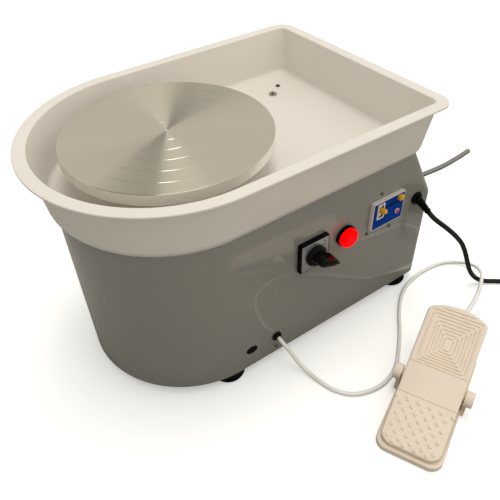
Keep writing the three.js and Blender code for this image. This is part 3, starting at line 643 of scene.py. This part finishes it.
# ---------------------------------------------------------------- D-shaped plan
def d_plan(half_width, right, corner):
    x, y = right - corner, half_width - corner
    return (arc(ROUND_CENTRE, 0, half_width, 90, 270, 96) + arc(x, -y, corner, 270, 360, 10)
            + arc(x, y, corner, 0, 90, 10))


# ---------------------------------------------------------------- cabinet shell
def cabinet():
    def ring(gap, z):
        lean = SLOPE_RUN * max(0.0, z - SLOPE_FOOT) / (CABINET_TOP - SLOPE_FOOT)
        corner = max(3.0, CORNER - gap)
        return ring_at(d_plan(HALF_WIDTH - gap, CABINET_RIGHT - lean - gap, corner), z)

    low, kink, top = CABINET_BOTTOM, SLOPE_FOOT, CABINET_TOP
    outside = [(0.9, low), (0.25, low + 0.25), (0, low + 0.9), (0, 60), (0, 120), (0, kink - 2.5),
               (0, kink), (0, kink + 2.5), (0, 212), (0, top - 1.8), (0.25, top - 0.9),
               (0.8, top - 0.25), (1.5, top)]
    inside = [(2, top - 0.4), (2.2, top - 1.2), (2, kink), (2, low + 0.9), (1.6, low + 0.2)]
    return loft([ring(gap, z) for gap, z in outside + inside], loop=True)


def oval(half_x, half_y):
    return [(half_x * c, half_y * d) for c, d in arc(0, 0, 1, 0, 354, 59)]


shell = mesh_object("cabinet_shell", cabinet())
lever_slot = brick(310, 340, -107, -66, 156.2, 168.4)
blank_hole = moved(prism(oval(8.2, 5.5), -8, 4), on_panel(BLANK_GROMMET_X, CORD_ROW))
carve(shell, together(lever_slot, blank_hole))
finish_piece(shell, GREY_PAINT, "frame", ["housing_shell"], 24)


# ---------------------------------------------------------------- splash pan
def splash_pan():
    def plan(offset, corner, z):
        return ring_at(d_plan(HALF_WIDTH + offset, PAN_RIGHT + offset, corner), z)

    def circle(radius, z):
        """As many points as the plan has, each on the same bearing from the spindle."""
        bearings = [math.atan2(y, x) for x, y in d_plan(HALF_WIDTH - 10, PAN_RIGHT - 10, 2)]
        return [(radius * math.cos(a), radius * math.sin(a), z) for a in bearings]

    outside = fillet([(-11.5, 256), (-11.5, 248.4), (0.6, 248.4), (7.4, 257.5), (14.9, 318.6),
                      (24.5, 319.3), (27.1, 320.2), (27.1, PAN_TOP), (12.9, PAN_TOP)],
                     [0, 0.6, 6, 14, 1.4, 4, 0.8, 1.3, 0], step=12)
    inside = fillet([(13.9, PAN_TOP), (11.6, PAN_TOP - 0.2), (3.6, PAN_FLOOR), (-12, PAN_FLOOR)],
                    [0, 2.2, 6, 0], step=12)
    neck = fillet([(40, PAN_FLOOR), (26, PAN_FLOOR), (26, 284), (22, 284), (22, 256), (40, 256)],
                  [0, 5, 1.6, 1.2, 0, 0], step=15)
    # the outer wall keeps its corner radius, and the lip's grows round it
    rings = [plan(offset, CORNER + max(0.0, offset - 15), z) for offset, z in outside[:-1]]
    rings += [plan(offset, 8.4, z) for offset, z in inside]
    rings += [circle(radius, z) for radius, z in neck]
    return loft(rings, loop=True)


piece("pan", splash_pan(), PAN_WHITE, "frame", ["splash_pan"], sharp=30)


def cross_screw(radius, height, slot_width):
    """A low domed screw head, and the cross that is cut into it."""
    dome = turned(fillet([(0, 0), (radius, 0), (radius, height * 0.35), (radius * 0.45, height),
                          (0, height)], [0, 0, radius * 0.35, radius * 0.3, 0]), 28)
    reach = radius * 0.62
    w = slot_width / 2
    arms = [(w, -reach), (w, -w), (reach, -w), (reach, w), (w, w), (w, reach), (-w, reach), (-w, w),
            (-reach, w), (-reach, -w), (-w, -w), (-w, -reach)]
    return dome, prism(arms, height * 0.45, height + 1)


head, cross = cross_screw(3.4, 2.1, 1.0)
piece("pan_floor_screw", head, DARK_STEEL, "frame", ["pan_screw"],
      shift(*PAN_SCREW_PLACE, PAN_FLOOR + SEAT), [cross])
washer = turned(fillet([(0, 0), (6, 0), (6, 1.3), (0, 1.3)], [0, 0.3, 0.4, 0]), 40)
head, cross = (moved(part, shift(0, 0, 1.25)) for part in cross_screw(3.6, 1.9, 1.1))
piece("pan_washer_and_screw", together(washer, head), STEEL, "frame", ["pan_washer_screw"],
      shift(*WASHER_SCREW_PLACE, PAN_FLOOR + SEAT), [cross])


# ---------------------------------------------------------------- wheel head
def wheel_head():
    """A disc with a centre mark and shallow V grooves, evenly spaced, in its top."""
    bottom, top, radius = WHEEL_BOTTOM, WHEEL_TOP, WHEEL_RADIUS
    groove_count, groove_half_width, groove_depth = 5, 0.3, 0.16
    outline = fillet([(0, bottom), (radius - 0.2, bottom), (radius, top), (radius - 3, top)],
                     [0, 1.0, 1.1, 0], step=18)
    for k in range(groove_count, 0, -1):
        r = radius * k / (groove_count + 1)
        outline += [(r + groove_half_width, top), (r, top - groove_depth), (r - groove_half_width, top)]
    outline += [(1.6, top), (0.5, top - 0.6), (0, top - 0.6)]
    return turned(outline, 192)


piece("wheel_disc", wheel_head(), TURNED, "wheel", ["wheel_head"], sharp=20)


# ---------------------------------------------------------------- rubber feet
FOOT_PLACES = {
    "foot_front_left": (-14, -118), "foot_front_right": (295, -119), "foot_rear_left": (-14, 118),
    "foot_rear_right": (295, 119), "foot_round_end": (-106, 0),
}
foot_profile = fillet([(0, 4.5), (5.5, 4.5), (6.2, 0), (21.6, 0), (23, 3), (21.4, 11.2), (22.2, 11.4),
                       (22.2, 13.7), (0, 13.7)], [0, 0.8, 0.8, 1.4, 1.0, 0.3, 0.3, 0.3, 0])
foot_screw = turned(fillet([(0, 1.6), (4, 1.6), (4.6, 4.4), (0, 4.4)], [0, 1.2, 0, 0]), 32)
for name, (x, y) in FOOT_PLACES.items():
    place = shift(x, y, 0)
    piece("rubber_" + name, turned(foot_profile, 48), RUBBER, "frame", [name], place)
    piece("screw_" + name, foot_screw, STEEL, "frame", (), place)


# ---------------------------------------------------------------- selector switch
SELECTOR = on_panel(SELECTOR_X, CONTROL_ROW)
piece("selector_surround", prism(window(23, 23, 3), SEAT, 6.3, 0, 1.1), BLACK, "frame",
      ["selector_bezel"], SELECTOR, [prism(window(21.2, 21.2, 1.6), 5.9, 9)])
piece("selector_faceplate", prism(window(20.9, 20.9, 1.4), 6.0, 7.0, 0, 0.3), BRUSHED_PLATE,
      "frame", ["selector_plate"], SELECTOR)
switch_positions = [KNOB_TILT + 60 * k for k in range(3)]
ticks = [moved(brick(16.4, 19.6, -0.6, 0.6, 6.9, 7.15), turn(a, "Z")) for a in switch_positions]
dot = turned([(0, 6.9), (0.9, 6.9), (0.9, 7.15), (0, 7.15)], 16)
ticks.append(moved(dot, shift(14.5, 15.5, 0)))
piece("selector_marks", together(*ticks), BLACK, "frame", (), SELECTOR)


def knob_parts():
    """A fluted base and a grip that tapers to the pointer's end, +X."""
    base = turned(fillet([(0, 7.7), (14.8, 7.7), (15, 10.2), (13.2, 12.6), (12.4, 12.6), (12.2, 14.1),
                          (0, 14.1)], [0, 0.3, 0.8, 0.8, 0.2, 0.6, 0]), 64)
    flutes = [moved(brick(14.0, 15.0, -0.8, 0.8, 8.2, 11.0, 0.3), turn(a, "Z")) for a in range(0, 360, 15)]
    outline = fillet([(26, -1.4), (26, 1.4), (17, 5.6), (0, 6.6), (-6, 5.8), (-9, 2.5), (-9, -2.5),
                      (-6, -5.8), (0, -6.6), (17, -5.6)], [1.2, 1.2, 3, 6, 2, 2, 2, 2, 6, 3], closed=True)
    levels = [(-0.2, 12.7), (0, 13.4), (0.35, 22), (0.8, 26.5), (1.5, 28.2), (2.6, 28.9)]
    grip = loft([ring_at(inset(outline, gap), z) for gap, z in levels])
    return together(base, grip, *flutes)


KNOB = SELECTOR @ turn(KNOB_TILT, "Z")
piece("knob", knob_parts(), BLACK_GLOSS, "selector", ["selector_knob"], KNOB)
pointer = fillet([(8, -1.5), (22.6, -1.1), (23.4, 0), (22.6, 1.1), (8, 1.5)], [0.4] * 5, closed=True)
piece("knob_pointer", prism(pointer, 27.4, 29.25, 0, 0.25), DARK_RED, "selector",
      ["selector_pointer"], KNOB)


# ---------------------------------------------------------------- pilot lamp
LAMP = on_panel(LAMP_X, CONTROL_ROW)
bezel_profile = fillet([(0, SEAT), (15, SEAT), (15, 5.4), (13.7, 5.4), (13.5, 4.4), (0, 4.4)],
                       [0, 0.4, 1.0, 0.3, 0, 0])
piece("lamp_bezel", turned(bezel_profile, 64), BLACK, "frame", ["lamp_collar"], LAMP)
lens_profile = fillet([(0, 4.7), (13.2, 4.7), (13.4, 11.2), (10.3, 13.4), (0, 14.2)], [0, 0, 1.6, 3, 0])
lens_ribs = [moved(brick(12.8, 13.6, -0.55, 0.55, 5.2, 10.4, 0.2), turn(a, "Z"))
             for a in range(0, 360, 12)]
piece("lamp_dome", together(turned(lens_profile, 64), *lens_ribs), LENS, "frame",
      ["lamp_lens"], LAMP)


# ---------------------------------------------------------------- breaker
BREAKER = on_panel(*BREAKER_PLACE)
TOGGLE_AT = (-15, 6.5)
BUTTON_AT = (19, 15.5)
INDICATOR = BREAKER @ shift(17, -7, 0)
piece("breaker_surround", prism(window(28.5, 22, 1.2), SEAT, 6.3, 0, 0.7), WHITE_TRIM, "frame",
      ["breaker_frame"], BREAKER, [prism(window(27.3, 20.8, 0.9), 4.5, 9)])
toggle_hole = prism(window(4.3, 10.3, 0.6, TOGGLE_AT), -6, 12)
button_hole = prism(window(4.4, 3.65, 0.5, BUTTON_AT), -6, 12)
indicator_hole = moved(turned([(0, 4), (3.3, 4), (3.3, 12), (0, 12)], 24), shift(17, -7, 0))
piece("breaker_front", prism(window(27.2, 20.7, 0.8), 4.4, 6.15, 0, 0.2), BLUE, "frame",
      ["breaker_face"], BREAKER, [toggle_hole, button_hole, indicator_hole])
piece("toggle_window", prism(window(6.2, 12.2, 1.0, TOGGLE_AT), 6.1, 7.4, 0, 0.5), WHITE_TRIM,
      "frame", ["toggle_surround"], BREAKER, [toggle_hole])
# a thin black strip along the shade under the test button and toggle: painted shadow, not a step in the
# face
piece("breaker_painted_shadow_strip", brick(-7.5, 18.5, 7.8, 10.2, 6.0, 6.45, 0.2), BLACK, "frame", (),
      BREAKER)
ring_profile = [(2.95, 5), (3.2, 5), (3.2, 6.2), (3.9, 6.2), (3.9, 7.1), (3.6, 7.4), (3.1, 7.4),
                (2.95, 7.2), (2.95, 5)]
piece("indicator_ring", turned(ring_profile, 32), WHITE_TRIM, "frame", (), INDICATOR)
piece("indicator_lens", turned(fillet([(0, 5), (2.9, 5), (2.9, 7.9), (0, 8.6)], [0, 0, 0.8, 0]), 32),
      PINK_RED, "frame", ["breaker_indicator"], INDICATOR)
piece("test_push", prism(window(4, 3.25, 0.8, BUTTON_AT), -2.4, 11.15, 0, 0.9), YELLOW, "button",
      ["test_button"], BREAKER)


def toggle_parts():
    """The lever stands along its own +Z from the pivot, with three grip ridges across its tip."""
    drum = moved(turned(fillet([(0, -3.5), (4.2, -3.5), (4.2, 3.5), (0, 3.5)], [0, 0.4, 0.4, 0]), 32),
                 turn(90, "Y"))
    stem = loft([ring_at(inset(rounded(-3.2, 3.2, -3, 3, 1.0), gap), z)
                 for gap, z in ((0, 1), (0.25, 11), (0, 15.5), (0.3, 17.8), (1.2, 18.9))])
    ridges = [brick(-2.6, 2.6, y - 0.35, y + 0.35, 17.6, 19.0, 0.25) for y in (-1.3, 0, 1.3)]
    return together(drum, stem, *ridges)


TOGGLE_UP = 13  # how far the toggle stands from square to the panel
TOGGLE_SUNK = 3  # how far its pivot lies behind the panel
piece("toggle_lever", toggle_parts(), YELLOW, "toggle", ["breaker_toggle"],
      BREAKER @ shift(*TOGGLE_AT, -TOGGLE_SUNK) @ turn(-TOGGLE_UP, "X"))

# the corner screw has no node of its own
head, cross = cross_screw(2.5, 1.8, 0.8)
for name, hides, x, z in (("breaker_screw_upper", ["breaker_screw_upper"], 222, 208.5),
                          ("breaker_screw_lower", ["breaker_screw_lower"], 246, 143.5),
                          ("panel_screw", ["panel_screw"], 52, 26),
                          ("breaker_screw_corner", [], 203.6, 150.2)):
    piece("head_of_" + name, head, DULL_STEEL, "frame", hides,
          on_panel(x, z) @ shift(0, 0, SEAT), [cross])


# ---------------------------------------------------------------- gland and grommets
def boot_profile():
    """A strain relief that tapers over its length, with rings moulded into it."""
    out = [(0, -1), (6, -1), (6, 1.5)]
    for k in range(5):
        z = 3 + 4.0 * k
        r = 5.9 - 0.27 * k
        out += [(r, z - 0.6), (r - 0.9, z), (r - 0.9, z + 1.2), (r - 0.1, z + 1.8)]
    return out + [(4.6, 23.2), (4.2, 24), (0, 24)]


GLAND = on_panel(*GLAND_PLACE)
gland_nut = turned(fillet([(0, SEAT), (9.0, SEAT), (9.0, 2.8), (7.6, 4.6), (0, 4.6)],
                          [0, 0.3, 0.8, 1, 0]), 48)
gland_nibs = [moved(brick(8.2, 9.5, -1.1, 1.1, 0.6, 3.6, 0.4), turn(a, "Z")) for a in range(0, 360, 60)]
boot_place = (shift(GLAND_PLACE[0], PANEL_Y - 3.5, GLAND_PLACE[1]) @ turn(BOOT_TURN, "Z")
              @ turn(90 + BOOT_DROOP, "X"))
gland = together(moved(together(gland_nut, *gland_nibs), GLAND),
                 moved(turned(boot_profile(), 32), boot_place))
piece("mains_gland", gland, BLACK, "frame", ["power_gland"])
grommet_profile = fillet([(0, SEAT), (7, SEAT), (7, 2.2), (5.4, 3.8), (3.6, 4.7), (0, 5)],
                         [0, 0.3, 0.8, 0.9, 0.5, 0])
piece("pedal_lead_grommet", turned(grommet_profile, 40), RUBBER, "frame",
      ["pedal_cord_grommet"], on_panel(PEDAL_GROMMET_X, CORD_ROW))
blank_rings = [(7.6, 4.9, -3.4), (7.7, 5.0, 0.2), (8.6, 5.9, 0.2), (8.6, 5.9, 0.7), (8.2, 5.5, 1.2),
               (7.2, 4.5, 1.4), (6.4, 3.8, 0.9), (2, 1.2, 0.8)]
piece("empty_grommet", loft([ring_at(oval(half_x, half_y), z) for half_x, half_y, z in blank_rings]),
      RUBBER, "frame", ["blank_grommet"], on_panel(BLANK_GROMMET_X, CORD_ROW))


# ---------------------------------------------------------------- hand speed lever
def lever_parts():
    """A hub about the lever's pivot, and a rod that sags and rises again to a rounded tip."""
    x, y, z = LEVER_PIVOT
    hub = turned(fillet([(0, -6), (8, -6), (8, 8), (0, 8)], [0, 0.8, 0.8, 0]), 40)
    rod = [(0, 0), (20, -0.8), (50, -2.5), (95, -6), (130, -4.2), (154, -0.9)]
    path = smooth_path([(x + reach, y, z + rise) for reach, rise in rod], 4)
    tip = path[-1]
    run = (path[-1] - path[-2]).normalized()
    radii = [3.75] * len(path)
    for reach, radius in ((1.0, 3.6), (2.0, 3.1), (2.8, 2.1), (3.1, 0.9)):
        path.append(tip + run * reach)
        radii.append(radius)
    return together(moved(hub, shift(x, y, z)), tube(path, radii, 28))


piece("hand_lever", lever_parts(), ROD_STEEL, "lever", ["speed_lever"])


# ---------------------------------------------------------------- foot pedal
PEDAL = shift(*PEDAL_PLACE) @ turn(PEDAL_TURN, "Z")
base_outline = (arc(-83, -25, 16, 180, 270, 10) + arc(78, -31, 10, 270, 360, 8)
                + arc(78, 31, 10, 0, 90, 8) + arc(-83, 25, 16, 90, 180, 10))
PIVOT = shift(*PEDAL_PIVOT)
boss = turned(fillet([(0, EAR_START), (10.5, EAR_START), (10.5, 51), (0, 51)], [0, 0, 1.8, 0]), 56)
cap = turned(fillet([(0, 0), (4.4, 0), (4.4, 0.8), (2.6, 1.5), (0, 1.5)], [0, 0, 0.4, 0.4, 0]), 32)
pedal_tray = mesh_object("pedal_tray", prism(base_outline, 0, 8, 0.6, 1.8), PEDAL)
carve(pedal_tray, prism(inset(base_outline, 8.5), 5.4, 12), PEDAL)
for side, word in ((1, "far"), (-1, "near")):
    x, _, z = PEDAL_PIVOT
    web = brick(x - 8, x + 8, *sorted((EAR_START * side, 45 * side)), 0.5, z)
    spin = turn(-90 * side, "X")
    carve(pedal_tray, web, PEDAL, "UNION")
    carve(pedal_tray, moved(boss, PIVOT @ spin), PEDAL, "UNION")
    piece("axle_cap_" + word, cap, STEEL, "frame", (),
          PEDAL @ PIVOT @ shift(0, side * 49.6, 0) @ spin)
finish_piece(pedal_tray, CREAM, "frame", ["pedal_base"], 32)

TREADLE = PEDAL @ PIVOT @ turn(-TREADLE_TILT, "Y")
toe = [(105 + 9.5 * (1 - s * s), s * TREADLE_HALF_WIDTH) for s in [k / 10 for k in range(-6, 7)]]
treadle_outline = (arc(-81, -21.7, 15, 180, 264, 10) + arc(96, -27.7, 12, 276, 345, 8) + toe
                   + arc(96, 27.7, 12, 15, 84, 8) + arc(-81, 21.7, 15, 96, 180, 10))


def groove(start, end, width=1.9, depth=1.5):
    """A straight trapezium groove in the treadle's top, between two points of its plan."""
    a, b = Vector(start), Vector(end)
    across = Vector((a.y - b.y, b.x - a.x)).normalized() * width / 2
    run = (b - a).normalized() * width / 2

    def ring(grow, z):
        corners = [a - run * grow + across * grow, a - run * grow - across * grow,
                   b + run * grow - across * grow, b + run * grow + across * grow]
        return [(c.x, c.y, z) for c in corners]

    return loft([ring(0.45, TREADLE_TOP - depth), ring(1.0, TREADLE_TOP), ring(1.4, TREADLE_TOP + 0.6)])


def toe_grooves():
    """Nested rectangles of grooves, broken at the diagonals: bars across, then bars along."""
    def half(k):
        return 5.6 + 4.25 * k

    def near(k):
        return 46 - 4.1 * k

    def far(k):
        return 64.5 + 5.2 * k

    gap = 2.8
    across = [((near(k), half(k) - gap), (near(k), gap - half(k))) for k in range(7)]
    across += [((far(k), half(k) - gap), (far(k), gap - half(k))) for k in range(8)]
    across += [((far(8), 20.5), (far(8), -20.5))]
    along = [((max(near(k), 19.5) + gap, side * half(k)), (far(k) - gap, side * half(k)))
             for k in range(8) for side in (-1, 1)]
    return [together(*(groove(*ends) for ends in across)), together(*(groove(*ends) for ends in along))]


treadle = mesh_object("treadle_plate", prism(treadle_outline, 4.5, TREADLE_TOP, 0.8, 1.9), TREADLE)
band_edges = [groove((u, 44), (u, -44), 1.5, 1.2) for u in (17.3, -27.8)]
for cut in toe_grooves() + band_edges:
    carve(treadle, cut, TREADLE)
finish_piece(treadle, CREAM, "treadle", ["treadle"], 30)

def treadle_studs():
    """Staggered rows from the band to the heel, the first with a stud more at each side."""
    stud = turned(fillet([(0, -0.4), (2.7, -0.4), (2.1, 1.5), (0, 1.8)], [0, 0, 0.7, 0]), 20)
    places = [(-35.3, v) for v in (-35.2, -21, -7, 7, 21, 35.2)]
    for row in range(1, 9):
        u = max(-35.3 - 7.37 * row, -91.9)
        places += [(u, v) for v in ((-28, -14, 0, 14, 28) if row % 2 else (-21, -7, 7, 21))]
    return together(*(moved(stud, shift(u, v, TREADLE_TOP)) for u, v in places))


piece("treadle_studs", treadle_studs(), CREAM, "treadle", (), TREADLE, sharp=50)
barrel = turned(fillet([(0, -TREADLE_HALF_WIDTH), (6.5, -TREADLE_HALF_WIDTH), (6.5, TREADLE_HALF_WIDTH),
                        (0, TREADLE_HALF_WIDTH)], [0, 0.6, 0.6, 0]), 32)
piece("treadle_barrel", moved(barrel, turn(90, "X")), CREAM, "treadle", (), TREADLE)
boot_rings = [(0, 0), (4.8, 0), (4.8, 1.6), (4.1, 2.1), (4.5, 2.8), (4.4, 4.4), (3.8, 4.9), (4.1, 5.6),
              (3.9, 7.4), (3.5, 7.9), (3.7, 8.6), (3.4, 12), (0, 12)]
piece("pedal_strain_relief", turned(boot_rings, 32), CREAM, "frame", ["pedal_cord_boot"],
      PEDAL @ shift(88.3, 0, 6) @ turn(90, "Y"))


# ---------------------------------------------------------------- finishes of the CAD nodes that show
FINISHES = [
    (DARK_STEEL, ["deck_plate", "base_plate", "bearing_housing", "motor_body"]),
    (CAST_STEEL, ["wheel_hub", "motor_bracket", "lever_bracket", "upper_bearing_outer_race",
                  "lower_bearing_outer_race", "upper_bearing_inner_race", "lower_bearing_inner_race"]),
    (STEEL, ["spindle", "motor_shaft", "pedal_axle"]),
    (ALUMINIUM, ["driven_pulley", "motor_pulley", "heat_sink"]),
    (RUBBER, ["drive_belt"]),
    (CIRCUIT, ["control_board"]),
    (BLACK, ["selector_switch_body", "breaker_body", "lever_sensor", "pedal_sensor"]),
]
for material, names in FINISHES:
    for name in names:
        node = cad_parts[name]
        node.data.materials.clear()
        node.data.materials.append(material)


# ---------------------------------------------------------------- studio
def studio_floor_material():
    """White to look at, and a duller bench where it lights the object or shows in its gloss."""
    surface = Surface("studio_white", (255, 255, 254), 0.8, mottle=0.003, mottle_scale=2, grain=0.0,
                      specular=0.0)
    nodes, links = surface.nodes, surface.links
    seen = nodes.new("ShaderNodeLightPath")
    dull = nodes.new("ShaderNodeBsdfDiffuse")
    dull.inputs["Color"].default_value = (0.37, 0.355, 0.33, 1)
    blend = nodes.new("ShaderNodeMixShader")
    links.new(seen.outputs["Is Camera Ray"], blend.inputs["Fac"])
    links.new(dull.outputs["BSDF"], blend.inputs[1])
    links.new(surface.bsdf.outputs["BSDF"], blend.inputs[2])
    links.new(blend.outputs["Shader"], nodes["Material Output"].inputs["Surface"])
    return lit(surface, (1, 1, 0.99, 1), 0.32)


FLOOR_REACH = 6.0
FLOOR_DROP = -0.0005  # just under the bench plane
floor_mesh = bpy.data.meshes.new("studio_floor")
floor_corners = ring_at(rectangle(-FLOOR_REACH, FLOOR_REACH, -FLOOR_REACH, FLOOR_REACH), FLOOR_DROP)
floor_mesh.from_pydata(floor_corners, [], [(0, 1, 2, 3)])
floor_mesh.materials.append(studio_floor_material())
floor = bpy.data.objects.new("studio_floor", floor_mesh)
bpy.context.scene.collection.objects.link(floor)

world = bpy.data.worlds.new("studio_sky")
bpy.context.scene.world = world
world.use_nodes = True
sky = world.node_tree
direction = sky.nodes.new("ShaderNodeTexCoord").outputs["Generated"]
# level directions ahead of and to the right of the camera, as seen from over the wheel
TO_CAMERA = (camera.matrix_world.translation - at(0, 0, 315)).normalized()
CAMERA_AHEAD = Vector((-TO_CAMERA.x, -TO_CAMERA.y, 0)).normalized()
CAMERA_RIGHT = Vector((CAMERA_AHEAD.y, -CAMERA_AHEAD.x, 0))


def sky_patch(towards, inner_deg, outer_deg):
    """One inside a cone of directions, falling to nothing at its edge."""
    aim = vector_math(sky, "DOT_PRODUCT", direction, Vector(towards).normalized())["Value"]
    return map_range(sky, aim, math.cos(rad(outer_deg)), math.cos(rad(inner_deg)),
                     interpolation="SMOOTHSTEP")


def sky_wedge(bearing_deg, half_deg, soft_deg):
    """One for the part of the sky that a disc's circular grain shows on one bearing from its middle."""
    bearing = CAMERA_RIGHT * math.cos(rad(bearing_deg)) + CAMERA_AHEAD * math.sin(rad(bearing_deg))
    halfway = vector_math(sky, "ADD", direction, TO_CAMERA)["Vector"]
    level = vector_math(sky, "MULTIPLY", halfway, (1, 1, 0))["Vector"]
    unit = vector_math(sky, "NORMALIZE", level)["Vector"]
    aim = vector_math(sky, "DOT_PRODUCT", unit, bearing)["Value"]
    either_way = sky.nodes.new("ShaderNodeMath")
    either_way.operation = "ABSOLUTE"
    sky.links.new(aim, either_way.inputs[0])
    return map_range(sky, either_way.outputs["Value"], math.cos(rad(half_deg + soft_deg)),
                     math.cos(rad(half_deg - soft_deg)), interpolation="SMOOTHSTEP")


WALLS = (0.76, 0.735, 0.69, 1)
OVERHEAD = (0.90, 0.87, 0.815, 1)
DARK_WALL = (0.40, 0.395, 0.36, 1)
WINDOW_WALL = (0.88, 0.85, 0.78, 1)
BACKDROP = (0.86, 0.85, 0.83, 1)  # what is seen past the floor, which lights nothing
tone = mix_colours(sky, sky_patch((0, -0.2, 1), 20, 75), WALLS, OVERHEAD)
tone = mix_colours(sky, sky_wedge(244, 20, 1.2), tone, DARK_WALL)
tone = mix_colours(sky, sky_wedge(272, 12, 2), tone, WINDOW_WALL)
seen = sky.nodes.new("ShaderNodeLightPath")
tone = mix_colours(sky, seen.outputs["Is Camera Ray"], tone, BACKDROP)
sky.links.new(tone, sky.nodes["Background"].inputs["Color"])
sky.nodes["Background"].inputs["Strength"].default_value = 1.0


def area_light(name, place, size, watts):
    """A ceiling light that faces a point just over the bench at the origin."""
    data = bpy.data.lights.new(name, "AREA")
    data.shape = "RECTANGLE"
    data.size, data.size_y = size
    data.energy = watts
    light = bpy.data.objects.new(name, data)
    bpy.context.scene.collection.objects.link(light)
    light.location = place
    light.rotation_euler = (Vector((0, 0, 0.2)) - Vector(place)).to_track_quat("-Z", "Y").to_euler()
    return light


# one light for the matt surfaces, and two that show only as glints in the glossy ones
CEILING_PLACE = (0.20, 0.15, 2.7)
CEILING_SIZE = (0.8, 1.6)
soft_light = area_light("ceiling", CEILING_PLACE, CEILING_SIZE, 21)
soft_light.visible_glossy = False
wide_glint = area_light("ceiling_glints", CEILING_PLACE, CEILING_SIZE, 5)
wide_glint.visible_diffuse = False
for ceiling_light in (soft_light, wide_glint):
    ceiling_light.data.color = (1.0, 0.99, 0.97)
area_light("lamp_glints", (0.0, 0.1, 2.7), (1.1, 0.2), 3.5).visible_diffuse = False
